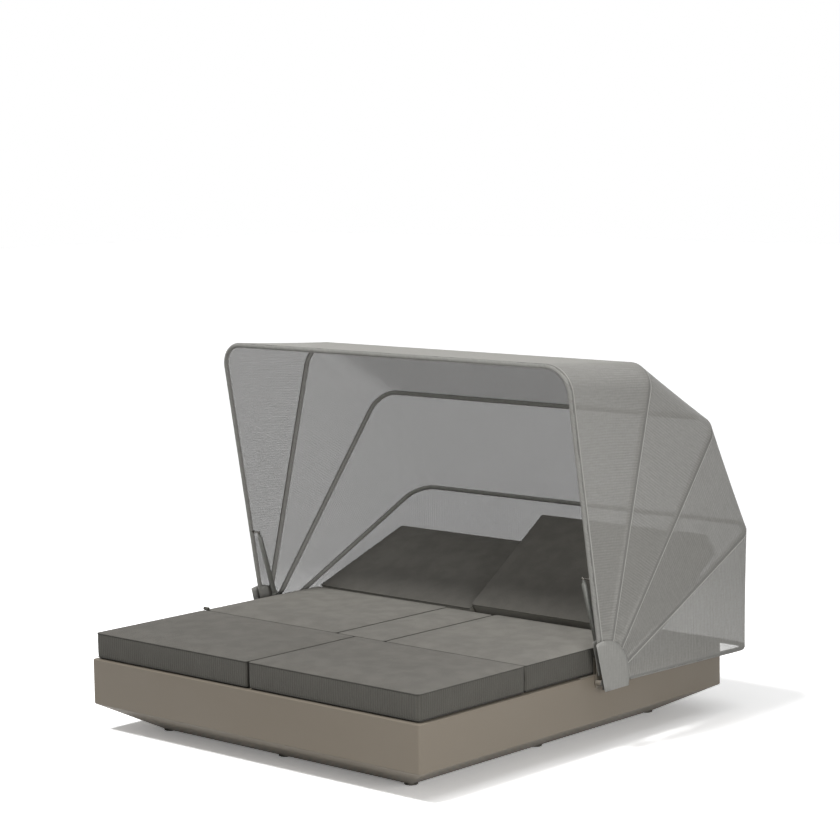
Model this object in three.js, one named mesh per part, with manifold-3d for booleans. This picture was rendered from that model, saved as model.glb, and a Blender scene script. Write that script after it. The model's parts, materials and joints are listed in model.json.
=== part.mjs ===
import * as THREE from 'three';
import { mergeVertices } from 'three/addons/utils/BufferGeometryUtils.js';
import Module from 'manifold-3d';

// Outdoor daybed with a folding canopy and two reclining backs.
// Millimetres. Sizes are given in the deck frame: x = 0 and y = 0 in the middle of
// the base, z = 0 on its top, the front towards -y and the canopy over +y.

const wasm = await Module();
wasm.setup();

// Base
const baseWidth = 2000;
const baseDepth = 2100;
const sideHeight = 207;
const skirtHeight = 121;
const skirtInsetX = 236;
const skirtInsetY = 209;
const baseCornerRadius = 10;
const baseTopRound = 5;
const skirtBlendRise = 3;
const skirtBlendShare = 0.025;

// Feet
const footRadius = 30;
const footHeight = 7;
const footStemRadius = 6;
const footStemLength = 22;
const footEdgeInset = 24;

// Fits
const gap = 0.3;
const pinClearance = 0.3;
const overrun = 2;

// Cushions
const cushionThickness = 119.7;
const cushionInset = 17;
const cushionCorner = 14;
const cushionEdgeRound = 3;
const cushionWaist = 3;
const cushionCrown = 9;
const cushionJoint = 3;
const frontRowLength = 671;
const middleRowGap = 29;
const centreStripLeft = -119;
const centreStripRight = 177;
const centreStripShortfall = 14;
const crownInsetShares = [0.04, 0.12, 0.28, 0.55];

// Backs
const backAxisInset = 616;
const boardThickness = 18;
const boardLength = 600;
const boardSideRail = 70;
const backCushionLength = 645;
const backCushionLead = 24;
const backCushionTravel = 180;
const backSplit = 5;
const leftRecline = 20;
const rightRecline = 34;
const hingeRodRadius = 4;
const hingeBlockWidth = 14;
const hingeBlockRadius = 8.5;
const slatGap = 26;
const slatWidth = 62;

// Back props and their racks
const propRadius = 6;
const propLength = 270;
const propHalfSpan = 160;
const propStub = 36;
const propBend = 12;
const rackWidth = 16;
const rackOffset = 100;
const rackEndMargin = 16;
const rackClearance = 13;
const rackToothDepth = 8;
const rackNotchWidth = 14;
const rackRecline = [0, 20, 27, 34, 45];

// Recesses in the base under the backs
const recessLead = 27;
const recessFloorGap = 0.6;
const recessSideWall = 16;
const recessMiddleWall = 28;
const recessMiddleDrop = 2;
const recessEndWall = 12;
const wellInset = 240;
const wellDepth = 42;
const wellFrontMargin = 60;
const wellBackMargin = 24;

// Canopy hub
const hubY = 100;
const hubZ = -30;
const hubOutset = 48;
const axleRadius = 6;
const axleHeadRadius = 11;
const axleHeadThickness = 2.2;
const lugThickness = 3.6;
const lugPitch = 4.8;
const lugEyeRadius = 14;
const lugHalfWidth = 11;
const lugOverlap = 22;

// Canopy hoops, from the fixed one at the back up to the front one
const tubeRadius = 8.5;
const legStart = 165;
const hoopCornerRadius = 115;
const fixedHoopAngle = -1.1;
const rearHoopAngle = 25.9;
const backHoopAngle = 51.7;
const midHoopAngle = 75.6;
const frontHoopAngle = 99.9;
const fixedHoopOutset = 189;
const rearHoopExtra = 132;
const backHoopExtra = 233;
const midHoopExtra = 266;
const frontHoopExtra = 282;

// Canopy fabric
const fabricThickness = 2;
const fabricTrim = 0.8;
const fabricStart = 205;

// Hub bracket and fabric cover
const bracketPlate = 7.5;
const bracketFront = 96;
const bracketBack = 162;
const bracketToeFront = -6;
const bracketDrop = 54;
const bracketFlange = 4;
const bracketFlangeLap = 15;
const bracketBossRadius = 12;
const coverWall = 2;
const coverDepthIn = 17;
const coverDepthOut = 16.5;
const coverRadius = 180;
const coverCentreY = -20;
const coverCentreZ = 15;
const coverBottom = -32;
const coverTipY = -17;
const coverMouthLow = 20;
const coverInnerFront = 10;
const coverEyeRadius = 17;
const coverFrontAngle = 108;

// Gas struts
const strutInset = 2;
const strutPivotLag = 46;
const strutPivotZ = 40;
const strutStudReach = 478;
const strutTubeRadius = 12;
const strutTubeStart = 78;
const strutRodRadius = 5;
const strutRodLength = 262;
const strutBoreSpare = 30;
const strutEyeRadius = 10;
const strutEyeWidth = 12;
const strutPinRadius = 4;
const strutNeckRadius = 7;
const strutNeckLength = 12;
const strutBallRadius = 8;
const clevisPlate = 3;
const clevisTopRadius = 12;
const clevisFront = 100;
const clevisFrontTop = 78;
const clevisHeadRadius = 7;
const studRadius = 4;

// Stand-off of the fixed hoop
const standoffInset = 100;
const standoffRadius = 9;

// Facet counts
const tubeSides = 10;
const pinSides = 12;
const roundSides = 20;
const bendSteps = 5;
const blendSteps = 5;
const cushionSideSteps = 6;
const cushionCornerSteps = 3;
const coverArcSteps = 9;

// Values worked out from the sizes above
const halfWidth = baseWidth / 2;
const halfDepth = baseDepth / 2;
const groundZ = -sideHeight - skirtHeight - footHeight - gap;
const hubX = halfWidth + hubOutset;
const fixedHoopReach = (halfDepth + fixedHoopOutset - hubY) / Math.cos(radians(fixedHoopAngle));
const rearHoopReach = fixedHoopReach + rearHoopExtra;
const hoopBack = hubY + rearHoopReach * Math.cos(radians(rearHoopAngle)) + tubeRadius;
const frameShiftY = (halfDepth - hoopBack) / 2;
const axisZ = -boardThickness / 2;
const backAxisY = halfDepth - backAxisInset;
const recessDepth = boardThickness + recessFloorGap;
const boardWidth = halfWidth - recessSideWall - recessMiddleWall / 2 - 2 * hingeBlockWidth - 4 * gap;
const sideCentreX = (halfWidth - recessSideWall + recessMiddleWall / 2) / 2;
const lugInnerX = hubX - 2 * lugPitch - lugThickness / 2;
const bracketOuterX = halfWidth + gap + bracketPlate;
const strutX = halfWidth - strutInset;
const strutPivotY = hubY + strutPivotLag;
const standoffY = halfDepth - standoffInset;

const finishes = {
  base: { color: 0x857b6f, roughness: 0.62, metalness: 0 },
  cushion: { color: 0x75726a, roughness: 0.95, metalness: 0 },
  fabric: { color: 0x8e8e89, roughness: 0.9, metalness: 0 },
  tube: { color: 0x77756f, roughness: 0.5, metalness: 0.3 },
  steel: { color: 0xb9b9b5, roughness: 0.3, metalness: 0.9 },
  rubber: { color: 0x2c2b29, roughness: 0.85, metalness: 0 },
  board: { color: 0x6e675e, roughness: 0.7, metalness: 0 },
};

function radians(degrees) {
  return THREE.MathUtils.degToRad(degrees);
}

function part(name, geometry, finish) {
  const mesh = new THREE.Mesh(geometry, new THREE.MeshStandardMaterial(finishes[finish]));
  mesh.name = name;
  return mesh;
}

// Solids for joining and cutting

function toSolid(geometry) {
  const bare = geometry.clone();
  bare.deleteAttribute('normal');
  bare.deleteAttribute('uv');
  const welded = mergeVertices(bare);
  return new wasm.Manifold(new wasm.Mesh({
    numProp: 3,
    vertProperties: new Float32Array(welded.attributes.position.array),
    triVerts: new Uint32Array(welded.index.array),
  }));
}

function toGeometry(solid) {
  const mesh = solid.getMesh();
  const geometry = new THREE.BufferGeometry();
  geometry.setAttribute('position', new THREE.BufferAttribute(mesh.vertProperties.slice(), 3));
  geometry.setIndex(new THREE.BufferAttribute(mesh.triVerts.slice(), 1));
  geometry.computeVertexNormals();
  return geometry;
}

function join(...geometries) {
  return toGeometry(geometries.map(toSolid).reduce((whole, solid) => whole.add(solid)));
}

function cut(body, ...tools) {
  return toGeometry(tools.map(toSolid).reduce((whole, solid) => whole.subtract(solid), toSolid(body)));
}

// Basic forms, each placed by its limits

function block(x0, x1, y0, y1, z0, z1) {
  const geometry = new THREE.BoxGeometry(x1 - x0, y1 - y0, z1 - z0);
  return geometry.translate((x0 + x1) / 2, (y0 + y1) / 2, (z0 + z1) / 2);
}

function rodX(radius, x0, x1, y = 0, z = 0, sides = pinSides) {
  const geometry = new THREE.CylinderGeometry(radius, radius, x1 - x0, sides);
  return geometry.rotateZ(Math.PI / 2).translate((x0 + x1) / 2, y, z);
}

function plateX(shape, x0, x1, curveSegments = bendSteps) {
  const geometry = new THREE.ExtrudeGeometry(shape, { depth: x1 - x0, bevelEnabled: false, curveSegments });
  return geometry.rotateY(Math.PI / 2).rotateX(Math.PI / 2).translate(x0, 0, 0);
}

function revolveY(profile, sides = roundSides) {
  return new THREE.LatheGeometry(profile.map(([r, y]) => new THREE.Vector2(r, y)), sides);
}

// A closed skin over rings of equal point count, each end closed at its middle.
function loft(rings) {
  const count = rings[0].length;
  const middle = (ring) => ring.reduce((sum, p) => sum.add(p), new THREE.Vector3()).divideScalar(count);
  const points = [middle(rings[0]), ...rings.flat(), middle(rings[rings.length - 1])];
  const index = [];
  for (let i = 0; i < count; i += 1) {
    const next = (i + 1) % count;
    index.push(0, 1 + next, 1 + i);
    for (let ring = 0; ring + 1 < rings.length; ring += 1) {
      const low = 1 + ring * count;
      const high = low + count;
      index.push(low + i, low + next, high + next, low + i, high + next, high + i);
    }
    const last = points.length - 1;
    index.push(last - count + i, last - count + next, last);
  }
  const geometry = new THREE.BufferGeometry().setFromPoints(points);
  geometry.setIndex(index);
  geometry.computeVertexNormals();
  return geometry;
}

function roundedOutline(halfX, halfY, radius, cornerSteps, sideSteps) {
  const corners = [[1, 1, 0], [-1, 1, 90], [-1, -1, 180], [1, -1, 270]];
  const outline = [];
  corners.forEach(([sx, sy, start], corner) => {
    for (let i = 0; i <= cornerSteps; i += 1) {
      const angle = radians(start + (90 * i) / cornerSteps);
      const x = sx * (halfX - radius) + radius * Math.cos(angle);
      outline.push(new THREE.Vector2(x, sy * (halfY - radius) + radius * Math.sin(angle)));
    }
    const [nx, ny] = corners[(corner + 1) % corners.length];
    const from = outline[outline.length - 1];
    const along = corner % 2 === 0;
    const to = new THREE.Vector2(along ? nx * (halfX - radius) : from.x, along ? from.y : ny * (halfY - radius));
    for (let i = 1; i < sideSteps; i += 1) {
      outline.push(from.clone().lerp(to, i / sideSteps));
    }
  });
  return outline;
}

function ringAt(outline, z) {
  return outline.map((p) => new THREE.Vector3(p.x, p.y, z));
}

// A path given by its stations, so that straight stretches need no extra steps.
class StationPath extends THREE.Curve {
  constructor(stations) {
    super();
    this.stations = stations;
  }

  stationAt(share) {
    return this.stations[Math.round(share * (this.stations.length - 1))];
  }

  getPointAt(share) {
    return this.stationAt(share).point.clone();
  }

  getTangentAt(share) {
    return this.stationAt(share).tangent.clone();
  }
}

// Stations of a polyline in the x-y plane with every inner corner rounded.
function bentRun(points, radius, steps = bendSteps) {
  const stations = [];
  const add = (x, y, direction) => {
    stations.push({ point: new THREE.Vector3(x, y, 0), tangent: new THREE.Vector3(direction.x, direction.y, 0) });
  };
  const vectors = points.map(([x, y]) => new THREE.Vector2(x, y));
  const direction = (i) => vectors[i + 1].clone().sub(vectors[i]).normalize();
  add(vectors[0].x, vectors[0].y, direction(0));
  for (let i = 1; i + 1 < vectors.length; i += 1) {
    const into = direction(i - 1);
    const out = direction(i);
    const turn = Math.atan2(into.cross(out), into.dot(out));
    const setback = radius * Math.tan(Math.abs(turn) / 2);
    const start = vectors[i].clone().addScaledVector(into, -setback);
    const side = Math.sign(turn);
    const centre = start.clone().add(new THREE.Vector2(-into.y, into.x).multiplyScalar(side * radius));
    for (let step = 0; step <= steps; step += 1) {
      const angle = (turn * step) / steps;
      const point = start.clone().rotateAround(centre, angle);
      add(point.x, point.y, into.clone().rotateAround(new THREE.Vector2(), angle));
    }
  }
  const end = vectors[vectors.length - 1];
  add(end.x, end.y, direction(vectors.length - 2));
  return stations;
}

function sweep(stations, radius, sides = tubeSides) {
  const section = new THREE.Shape();
  for (let i = 0; i < sides; i += 1) {
    const angle = (2 * Math.PI * i) / sides;
    const x = radius * Math.cos(angle);
    const y = radius * Math.sin(angle);
    if (i === 0) section.moveTo(x, y);
    else section.lineTo(x, y);
  }
  section.closePath();
  return new THREE.ExtrudeGeometry(section, {
    steps: stations.length - 1,
    extrudePath: new StationPath(stations),
    bevelEnabled: false,
  });
}

// Base and feet

function baseBody() {
  const ring = (z, insetX, insetY) => ringAt(
    roundedOutline(halfWidth - insetX, halfDepth - insetY, baseCornerRadius, bendSteps, 1),
    z,
  );
  const rings = [ring(-sideHeight - skirtHeight, skirtInsetX, skirtInsetY)];
  for (let i = 0; i <= blendSteps; i += 1) {
    const share = i / blendSteps;
    const skirt = (1 - share) ** 2 * skirtBlendShare;
    rings.push(ring(share ** 2 * skirtBlendRise - sideHeight - skirt * skirtHeight,
      skirt * skirtInsetX, skirt * skirtInsetY));
  }
  rings.push(ring(-baseTopRound, 0, 0));
  rings.push(ring(0, baseTopRound, baseTopRound));
  return loft(rings);
}

function footPlaces() {
  const x = halfWidth - skirtInsetX - footEdgeInset;
  const y = halfDepth - skirtInsetY - footEdgeInset;
  return [-1, 0, 1].flatMap((row) => [-1, 0, 1].map((column) => [column * x, row * y]));
}

function backRecesses() {
  const start = backAxisY - recessLead;
  const end = halfDepth - recessEndWall;
  const inner = recessMiddleWall / 2;
  const outer = halfWidth - recessSideWall;
  const middle = block(-inner - overrun, inner + overrun, start, end, -recessMiddleDrop, overrun);
  const recesses = [-1, 1].flatMap((side) => {
    const span = (a, b) => [Math.min(side * a, side * b), Math.max(side * a, side * b)];
    const wellInnerX = sideCentreX - wellInset;
    const wellOuterX = sideCentreX + wellInset;
    return [
      block(...span(inner, outer), start, end, -recessDepth, overrun),
      block(...span(wellInnerX, wellOuterX), backAxisY + rackStart() - wellFrontMargin,
        backAxisY + rackEnd() + wellBackMargin, -wellDepth, overrun),
    ];
  });
  return [middle, ...recesses];
}

function baseShell() {
  const bottom = -sideHeight - skirtHeight;
  const holes = footPlaces().map(([x, y]) => {
    const hole = new THREE.CylinderGeometry(footStemRadius + pinClearance, footStemRadius + pinClearance,
      footStemLength + gap + overrun, pinSides);
    return hole.rotateX(Math.PI / 2).translate(x, y, bottom + (footStemLength + gap - overrun) / 2);
  });
  return part('base_shell', cut(baseBody(), ...backRecesses(), ...holes), 'base');
}

function foot(number, x, y) {
  const stemTop = footHeight + footStemLength;
  const chamfer = footHeight / 3;
  const profile = [[0, 0], [footRadius - chamfer, 0], [footRadius, chamfer], [footRadius, footHeight],
    [footStemRadius, footHeight], [footStemRadius, stemTop], [0, stemTop]];
  const mesh = part(`foot_${number}`, revolveY(profile, pinSides), 'rubber');
  mesh.rotation.x = Math.PI / 2;
  mesh.position.set(x, y, groundZ);
  return mesh;
}

// Cushions

function cushionForm(width, length) {
  const ring = (inset, z) => ringAt(
    roundedOutline(width / 2 - inset, length / 2 - inset, cushionCorner, cushionCornerSteps, cushionSideSteps),
    z,
  );
  const rings = [
    ring(cushionEdgeRound, 0),
    ring(0, cushionEdgeRound),
    ring(cushionWaist, cushionThickness / 2),
    ring(0, cushionThickness - cushionEdgeRound),
    ring(cushionEdgeRound, cushionThickness),
  ];
  const edge = rings[rings.length - 1];
  crownInsetShares.forEach((share) => {
    const rise = cushionCrown * (1 - (1 - share) ** 3);
    rings.push(edge.map((p) => new THREE.Vector3(p.x * (1 - share), p.y * (1 - share), p.z + rise)));
  });
  return loft(rings);
}

function seatCushion(name, x0, x1, y0, y1) {
  const mesh = part(name, cushionForm(x1 - x0, y1 - y0), 'cushion');
  mesh.position.set((x0 + x1) / 2, (y0 + y1) / 2, gap);
  return mesh;
}

function seatCushions() {
  const edge = halfWidth - cushionInset;
  const front = cushionInset - halfDepth;
  const frontRowEnd = front + frontRowLength;
  const middleRowEnd = backAxisY - middleRowGap;
  const half = cushionJoint / 2;
  const stripEnd = middleRowEnd - centreStripShortfall;
  return [
    seatCushion('cushion_front_left', -edge, -half, front, frontRowEnd - half),
    seatCushion('cushion_front_right', half, edge, front, frontRowEnd - half),
    seatCushion('cushion_middle_left', -edge, centreStripLeft - half, frontRowEnd + half, middleRowEnd),
    seatCushion('cushion_middle_right', centreStripRight + half, edge, frontRowEnd + half, middleRowEnd),
    seatCushion('cushion_centre', centreStripLeft + half, centreStripRight - half, frontRowEnd + half, stripEnd),
  ];
}

// Backs: board, cushion, prop, hinge and racks. Each is drawn in the frame of the
// board, whose y axis starts at the hinge and runs up the board.

function rackPlace(recline) {
  return 2 * propLength * Math.cos(radians(recline));
}

function rackStart() {
  return rackPlace(rackRecline[rackRecline.length - 1]) - rackEndMargin;
}

function rackEnd() {
  return rackPlace(rackRecline[0]) + rackEndMargin;
}

function backBoard(name) {
  const half = boardThickness / 2;
  const profile = new THREE.Shape();
  profile.moveTo(0, half);
  profile.absarc(0, 0, half, Math.PI / 2, (3 * Math.PI) / 2, false);
  profile.lineTo(boardLength, -half);
  profile.lineTo(boardLength, half);
  profile.closePath();
  const panel = plateX(profile, -boardWidth / 2, boardWidth / 2, roundSides / 2);
  const rodHole = rodX(hingeRodRadius + pinClearance, -boardWidth / 2 - overrun, boardWidth / 2 + overrun);
  const openHalf = propHalfSpan + propRadius + slatGap / 2;
  const openStart = propLength - propRadius - slatGap / 2;
  const openEnd = rackEnd() + rackClearance;
  const propOpening = block(-openHalf, openHalf, openStart, openEnd, -boardThickness, boardThickness);
  const stubEnd = propHalfSpan + propStub + gap;
  const stubHole = rodX(propRadius + pinClearance, -stubEnd, stubEnd, propLength);
  return part(name, cut(panel, rodHole, propOpening, stubHole, ...boardSlots()), 'board');
}

// Air slots across the lower half of the board, between the hinge and the prop.
function boardSlots() {
  const slots = [];
  const end = propLength - propRadius - slatGap / 2 - slatWidth;
  const halfSlot = boardWidth / 2 - boardSideRail;
  for (let y = slatWidth; y + slatGap <= end; y += slatWidth + slatGap) {
    slots.push(block(-halfSlot, halfSlot, y, y + slatGap, -boardThickness, boardThickness));
  }
  return slots;
}

function backCushion(name, recline) {
  const width = halfWidth - cushionInset - backSplit / 2;
  const mesh = part(name, cushionForm(width, backCushionLength), 'cushion');
  const slide = backCushionTravel * radians(recline) - backCushionLead;
  mesh.position.set(0, slide + backCushionLength / 2, boardThickness / 2 + gap);
  return mesh;
}

function backProp(name, recline) {
  const stub = propHalfSpan + propStub;
  const stations = bentRun([[-stub, 0], [-propHalfSpan, 0], [-propHalfSpan, propLength],
    [propHalfSpan, propLength], [propHalfSpan, 0], [stub, 0]], propBend, bendSteps - 1);
  const mesh = part(name, sweep(stations, propRadius), 'steel');
  mesh.position.set(0, propLength, 0);
  mesh.rotation.x = -2 * radians(recline);
  return mesh;
}

function propRack(name, x) {
  const top = axisZ - propRadius - gap;
  const profile = new THREE.Shape();
  profile.moveTo(rackStart(), gap - wellDepth);
  profile.lineTo(rackEnd(), gap - wellDepth);
  profile.lineTo(rackEnd(), top);
  rackRecline.forEach((recline) => {
    const place = rackPlace(recline);
    profile.lineTo(place + rackNotchWidth / 2, top);
    profile.lineTo(place + rackNotchWidth / 2, top - rackToothDepth);
    profile.lineTo(place, top - rackToothDepth);
    profile.lineTo(place - rackNotchWidth / 2, top);
  });
  profile.lineTo(rackStart(), top);
  profile.closePath();
  const mesh = part(name, plateX(profile, -rackWidth / 2, rackWidth / 2), 'board');
  mesh.position.set(x, backAxisY, 0);
  return mesh;
}

function hingeBlock(name, x) {
  const low = gap - recessDepth;
  const profile = new THREE.Shape();
  profile.moveTo(-hingeBlockRadius, low);
  profile.lineTo(hingeBlockRadius, low);
  profile.lineTo(hingeBlockRadius, axisZ);
  profile.absarc(0, axisZ, hingeBlockRadius, 0, Math.PI, false);
  profile.closePath();
  const solid = plateX(profile, -hingeBlockWidth / 2, hingeBlockWidth / 2, roundSides / 2);
  const hole = rodX(hingeRodRadius + pinClearance, -hingeBlockWidth, hingeBlockWidth, 0, axisZ);
  const mesh = part(name, cut(solid, hole), 'steel');
  mesh.position.set(x, backAxisY, 0);
  return mesh;
}

function back(side, label, recline) {
  const centreX = side * sideCentreX;
  const moving = new THREE.Group();
  moving.position.set(centreX, backAxisY, axisZ);
  moving.rotation.x = radians(recline);
  const cushion = backCushion(`back_cushion_${label}`, recline);
  cushion.position.x = side * ((halfWidth - cushionInset + backSplit / 2) / 2 - sideCentreX);
  moving.add(backBoard(`back_board_${label}`), cushion, backProp(`back_prop_${label}`, recline));
  const blockOffset = (boardWidth + hingeBlockWidth) / 2 + gap;
  const rodHalf = boardWidth / 2 + hingeBlockWidth;
  const rod = part(`hinge_rod_${label}`, rodX(hingeRodRadius, -rodHalf, rodHalf), 'steel');
  rod.position.set(centreX, backAxisY, axisZ);
  return [
    moving,
    rod,
    hingeBlock(`hinge_block_${label}_inner`, centreX - side * blockOffset),
    hingeBlock(`hinge_block_${label}_outer`, centreX + side * blockOffset),
    propRack(`prop_rack_${label}_inner`, centreX - side * rackOffset),
    propRack(`prop_rack_${label}_outer`, centreX + side * rackOffset),
  ];
}

// Canopy hoops. Each is drawn flat, x across and y away from the hub axis, and then
// turned about that axis to its angle.

function hoopRun(reach, start) {
  return bentRun([[-hubX, start], [-hubX, reach], [hubX, reach], [hubX, start]], hoopCornerRadius);
}

function hoopLug(side, layer) {
  const centre = side * (hubX + (layer - 2) * lugPitch);
  const plate = block(centre - lugThickness / 2, centre + lugThickness / 2,
    0, legStart + lugOverlap, -lugHalfWidth, lugHalfWidth);
  const eye = rodX(lugEyeRadius, centre - lugThickness / 2, centre + lugThickness / 2, 0, 0, roundSides);
  return [plate, eye];
}

function hoop(name, reach, angle, layer) {
  const tube = sweep(hoopRun(reach, legStart), tubeRadius);
  const lugs = [-1, 1].flatMap((side) => hoopLug(side, layer));
  const holes = [-1, 1].map((side) => rodX(axleRadius + pinClearance,
    side * hubX - 2 * lugPitch - lugThickness, side * hubX + 2 * lugPitch + lugThickness));
  const mesh = part(name, cut(join(tube, ...lugs), ...holes), 'tube');
  mesh.rotation.x = radians(angle);
  return mesh;
}

function turned(vector, angle) {
  return vector.clone().applyAxisAngle(new THREE.Vector3(1, 0, 0), radians(angle));
}

// Fabric stretched between two neighbouring hoops, trimmed clear of both tubes.
function fabricPanel(name, lowReach, lowAngle, highReach, highAngle) {
  const high = hoopRun(highReach, fabricStart);
  const rings = hoopRun(lowReach, fabricStart).map((station, i) => {
    const from = turned(station.point, lowAngle);
    const to = turned(high[i].point, highAngle);
    const across = to.clone().sub(from);
    const lowRun = turned(station.tangent, lowAngle);
    const highRun = turned(high[i].tangent, highAngle);
    const trim = (run) => (tubeRadius + fabricTrim) / new THREE.Vector3().crossVectors(across, run).length();
    const edges = [from.clone().lerp(to, trim(lowRun)), to.clone().lerp(from, trim(highRun))];
    const normal = new THREE.Vector3().crossVectors(across, lowRun.add(highRun)).setLength(fabricThickness / 2);
    const outer = edges.map((edge) => edge.clone().add(normal));
    const inner = edges.map((edge) => edge.clone().sub(normal));
    return [outer[0], outer[1], inner[1], inner[0]];
  });
  return part(name, loft(rings), 'fabric');
}

// Hub: bracket on the base, axle through the lugs and fabric cover over them

function mirrored(geometry, side) {
  if (side > 0) return geometry;
  const flipped = geometry.index ? geometry.toNonIndexed() : geometry.clone();
  flipped.scale(-1, 1, 1);
  const position = flipped.attributes.position;
  for (let i = 0; i < position.count; i += 3) {
    const keep = new THREE.Vector3().fromBufferAttribute(position, i + 1);
    const swap = new THREE.Vector3().fromBufferAttribute(position, i + 2);
    position.setXYZ(i + 1, swap.x, swap.y, swap.z);
    position.setXYZ(i + 2, keep.x, keep.y, keep.z);
  }
  flipped.computeVertexNormals();
  return flipped;
}

function clevisProfile() {
  const profile = new THREE.Shape();
  profile.moveTo(clevisFront, gap);
  profile.lineTo(strutPivotY + clevisTopRadius, gap);
  profile.lineTo(strutPivotY + clevisTopRadius, strutPivotZ);
  profile.absarc(strutPivotY, strutPivotZ, clevisTopRadius, 0, Math.PI / 2, false);
  profile.lineTo(clevisFront, clevisFrontTop);
  profile.closePath();
  return profile;
}

function clevisInner() {
  return strutX - strutEyeWidth / 2 - gap;
}

function clevisOuter() {
  return strutX + strutEyeWidth / 2 + gap;
}

function bracket(side, label) {
  const side0 = halfWidth + gap;
  const plate = block(side0, bracketOuterX, bracketFront, bracketBack, -bracketDrop, gap + bracketFlange);
  const flange = block(halfWidth - bracketFlangeLap, bracketOuterX, bracketFront, bracketBack,
    gap, gap + bracketFlange);
  const toe = block(halfWidth - bracketFlangeLap, side0, bracketToeFront, bracketFront + overrun,
    gap, gap + bracketFlange);
  const cheeks = [
    plateX(clevisProfile(), clevisInner() - clevisPlate, clevisInner(), roundSides / 2),
    plateX(clevisProfile(), clevisOuter(), clevisOuter() + clevisPlate, roundSides / 2),
  ];
  const boss = rodX(bracketBossRadius, bracketOuterX - overrun, lugInnerX - gap, hubY, hubZ, roundSides);
  const axleHole = rodX(axleRadius + pinClearance, bracketOuterX, hubX, hubY, hubZ);
  const pinHole = rodX(strutPinRadius + pinClearance, clevisInner() - 2 * clevisPlate,
    clevisOuter() + 2 * clevisPlate, strutPivotY, strutPivotZ);
  const solid = cut(join(plate, flange, toe, ...cheeks, boss), axleHole, pinHole);
  return part(`hub_bracket_${label}`, mirrored(solid, side), 'tube');
}

function axle(side, label) {
  const headStart = hubX + 2 * lugPitch + lugThickness / 2 + gap;
  const shaft = rodX(axleRadius, bracketOuterX + gap, headStart + axleHeadThickness / 2, hubY, hubZ);
  const head = rodX(axleHeadRadius, headStart, headStart + axleHeadThickness, hubY, hubZ);
  return part(`hub_axle_${label}`, mirrored(join(shaft, head), side), 'steel');
}

function coverOutline(inset) {
  const radius = coverRadius - inset;
  const bottom = coverBottom + inset;
  const profile = new THREE.Shape();
  const start = Math.asin((bottom - coverCentreZ) / radius);
  const end = radians(coverFrontAngle);
  profile.moveTo(coverTipY + inset, bottom);
  profile.lineTo(coverCentreY + radius * Math.cos(start), bottom);
  for (let i = 1; i <= coverArcSteps; i += 1) {
    const angle = start + ((end - start) * i) / coverArcSteps;
    profile.lineTo(coverCentreY + radius * Math.cos(angle) + inset * (i / coverArcSteps),
      coverCentreZ + radius * Math.sin(angle));
  }
  profile.closePath();
  return profile;
}

function hubCover(side, label) {
  const inX = hubX - coverDepthIn;
  const outX = hubX + coverDepthOut;
  const shell = plateX(coverOutline(0), inX, outX);
  const hollow = plateX(coverOutline(coverWall), inX + coverWall, outX - coverWall);
  const reach = 2 * coverRadius;
  const mouth = block(inX + coverWall, outX - coverWall, 0, reach, -coverMouthLow, reach);
  const eye = rodX(coverEyeRadius, inX - 2 * overrun, outX, 0, 0, roundSides);
  const front = cut(block(inX - overrun, outX - coverWall, -reach, coverInnerFront, -reach, reach), eye);
  const hole = rodX(bracketBossRadius + pinClearance, inX - overrun, inX + coverWall + overrun, 0, 0, roundSides);
  const mesh = part(`hub_cover_${label}`, mirrored(cut(shell, hollow, mouth, front, hole), side), 'fabric');
  mesh.position.set(0, hubY, hubZ);
  return mesh;
}

// Gas struts. The rod end turns on the bracket and the tube slides on the rod.

function strutSpan(angle) {
  const y = hubY + strutStudReach * Math.cos(radians(angle)) - strutPivotY;
  const z = hubZ + strutStudReach * Math.sin(radians(angle)) - strutPivotZ;
  return { length: Math.hypot(y, z), lean: Math.atan2(z, y) };
}

function strutRod(label) {
  const eye = rodX(strutEyeRadius, -strutEyeWidth / 2, strutEyeWidth / 2, 0, 0, roundSides);
  const rod = new THREE.CylinderGeometry(strutRodRadius, strutRodRadius, strutRodLength, pinSides);
  rod.translate(0, strutRodLength / 2, 0);
  const hole = rodX(strutPinRadius + pinClearance, -strutEyeWidth, strutEyeWidth);
  return part(`strut_rod_${label}`, cut(join(eye, rod), hole), 'steel');
}

function strutTube(label, length) {
  const bore = strutRodRadius + pinClearance;
  const boreEnd = strutRodLength + strutBoreSpare;
  const shoulder = length - strutBallRadius - strutNeckLength;
  const profile = [[0, boreEnd], [bore, boreEnd], [bore, strutTubeStart], [strutTubeRadius, strutTubeStart],
    [strutTubeRadius, shoulder - strutNeckRadius], [strutNeckRadius, shoulder], [strutNeckRadius, length],
    [0, length]];
  const ball = new THREE.SphereGeometry(strutBallRadius, pinSides, tubeSides);
  ball.translate(0, length, 0);
  return part(`strut_tube_${label}`, join(revolveY(profile, pinSides), ball), 'tube');
}

function strutParts(side, label) {
  const { length, lean } = strutSpan(frontHoopAngle);
  const moving = new THREE.Group();
  moving.position.set(side * strutX, strutPivotY, strutPivotZ);
  moving.rotation.x = lean;
  moving.add(strutRod(label), strutTube(label, length));
  const pinEnd = strutEyeWidth / 2 + gap + clevisPlate;
  const pinHead = rodX(clevisHeadRadius, pinEnd + gap, pinEnd + gap + clevisPlate);
  const pin = part(`strut_pin_${label}`, mirrored(join(rodX(strutPinRadius, -pinEnd, pinEnd + clevisPlate),
    pinHead), side), 'steel');
  pin.position.copy(moving.position);
  const studEnd = hubX - tubeRadius - gap;
  const stud = part(`strut_stud_${label}`, mirrored(rodX(studRadius, strutX + strutBallRadius + gap, studEnd),
    side), 'steel');
  const angle = radians(frontHoopAngle);
  stud.position.set(0, hubY + strutStudReach * Math.cos(angle), hubZ + strutStudReach * Math.sin(angle));
  return [moving, pin, stud];
}

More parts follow.
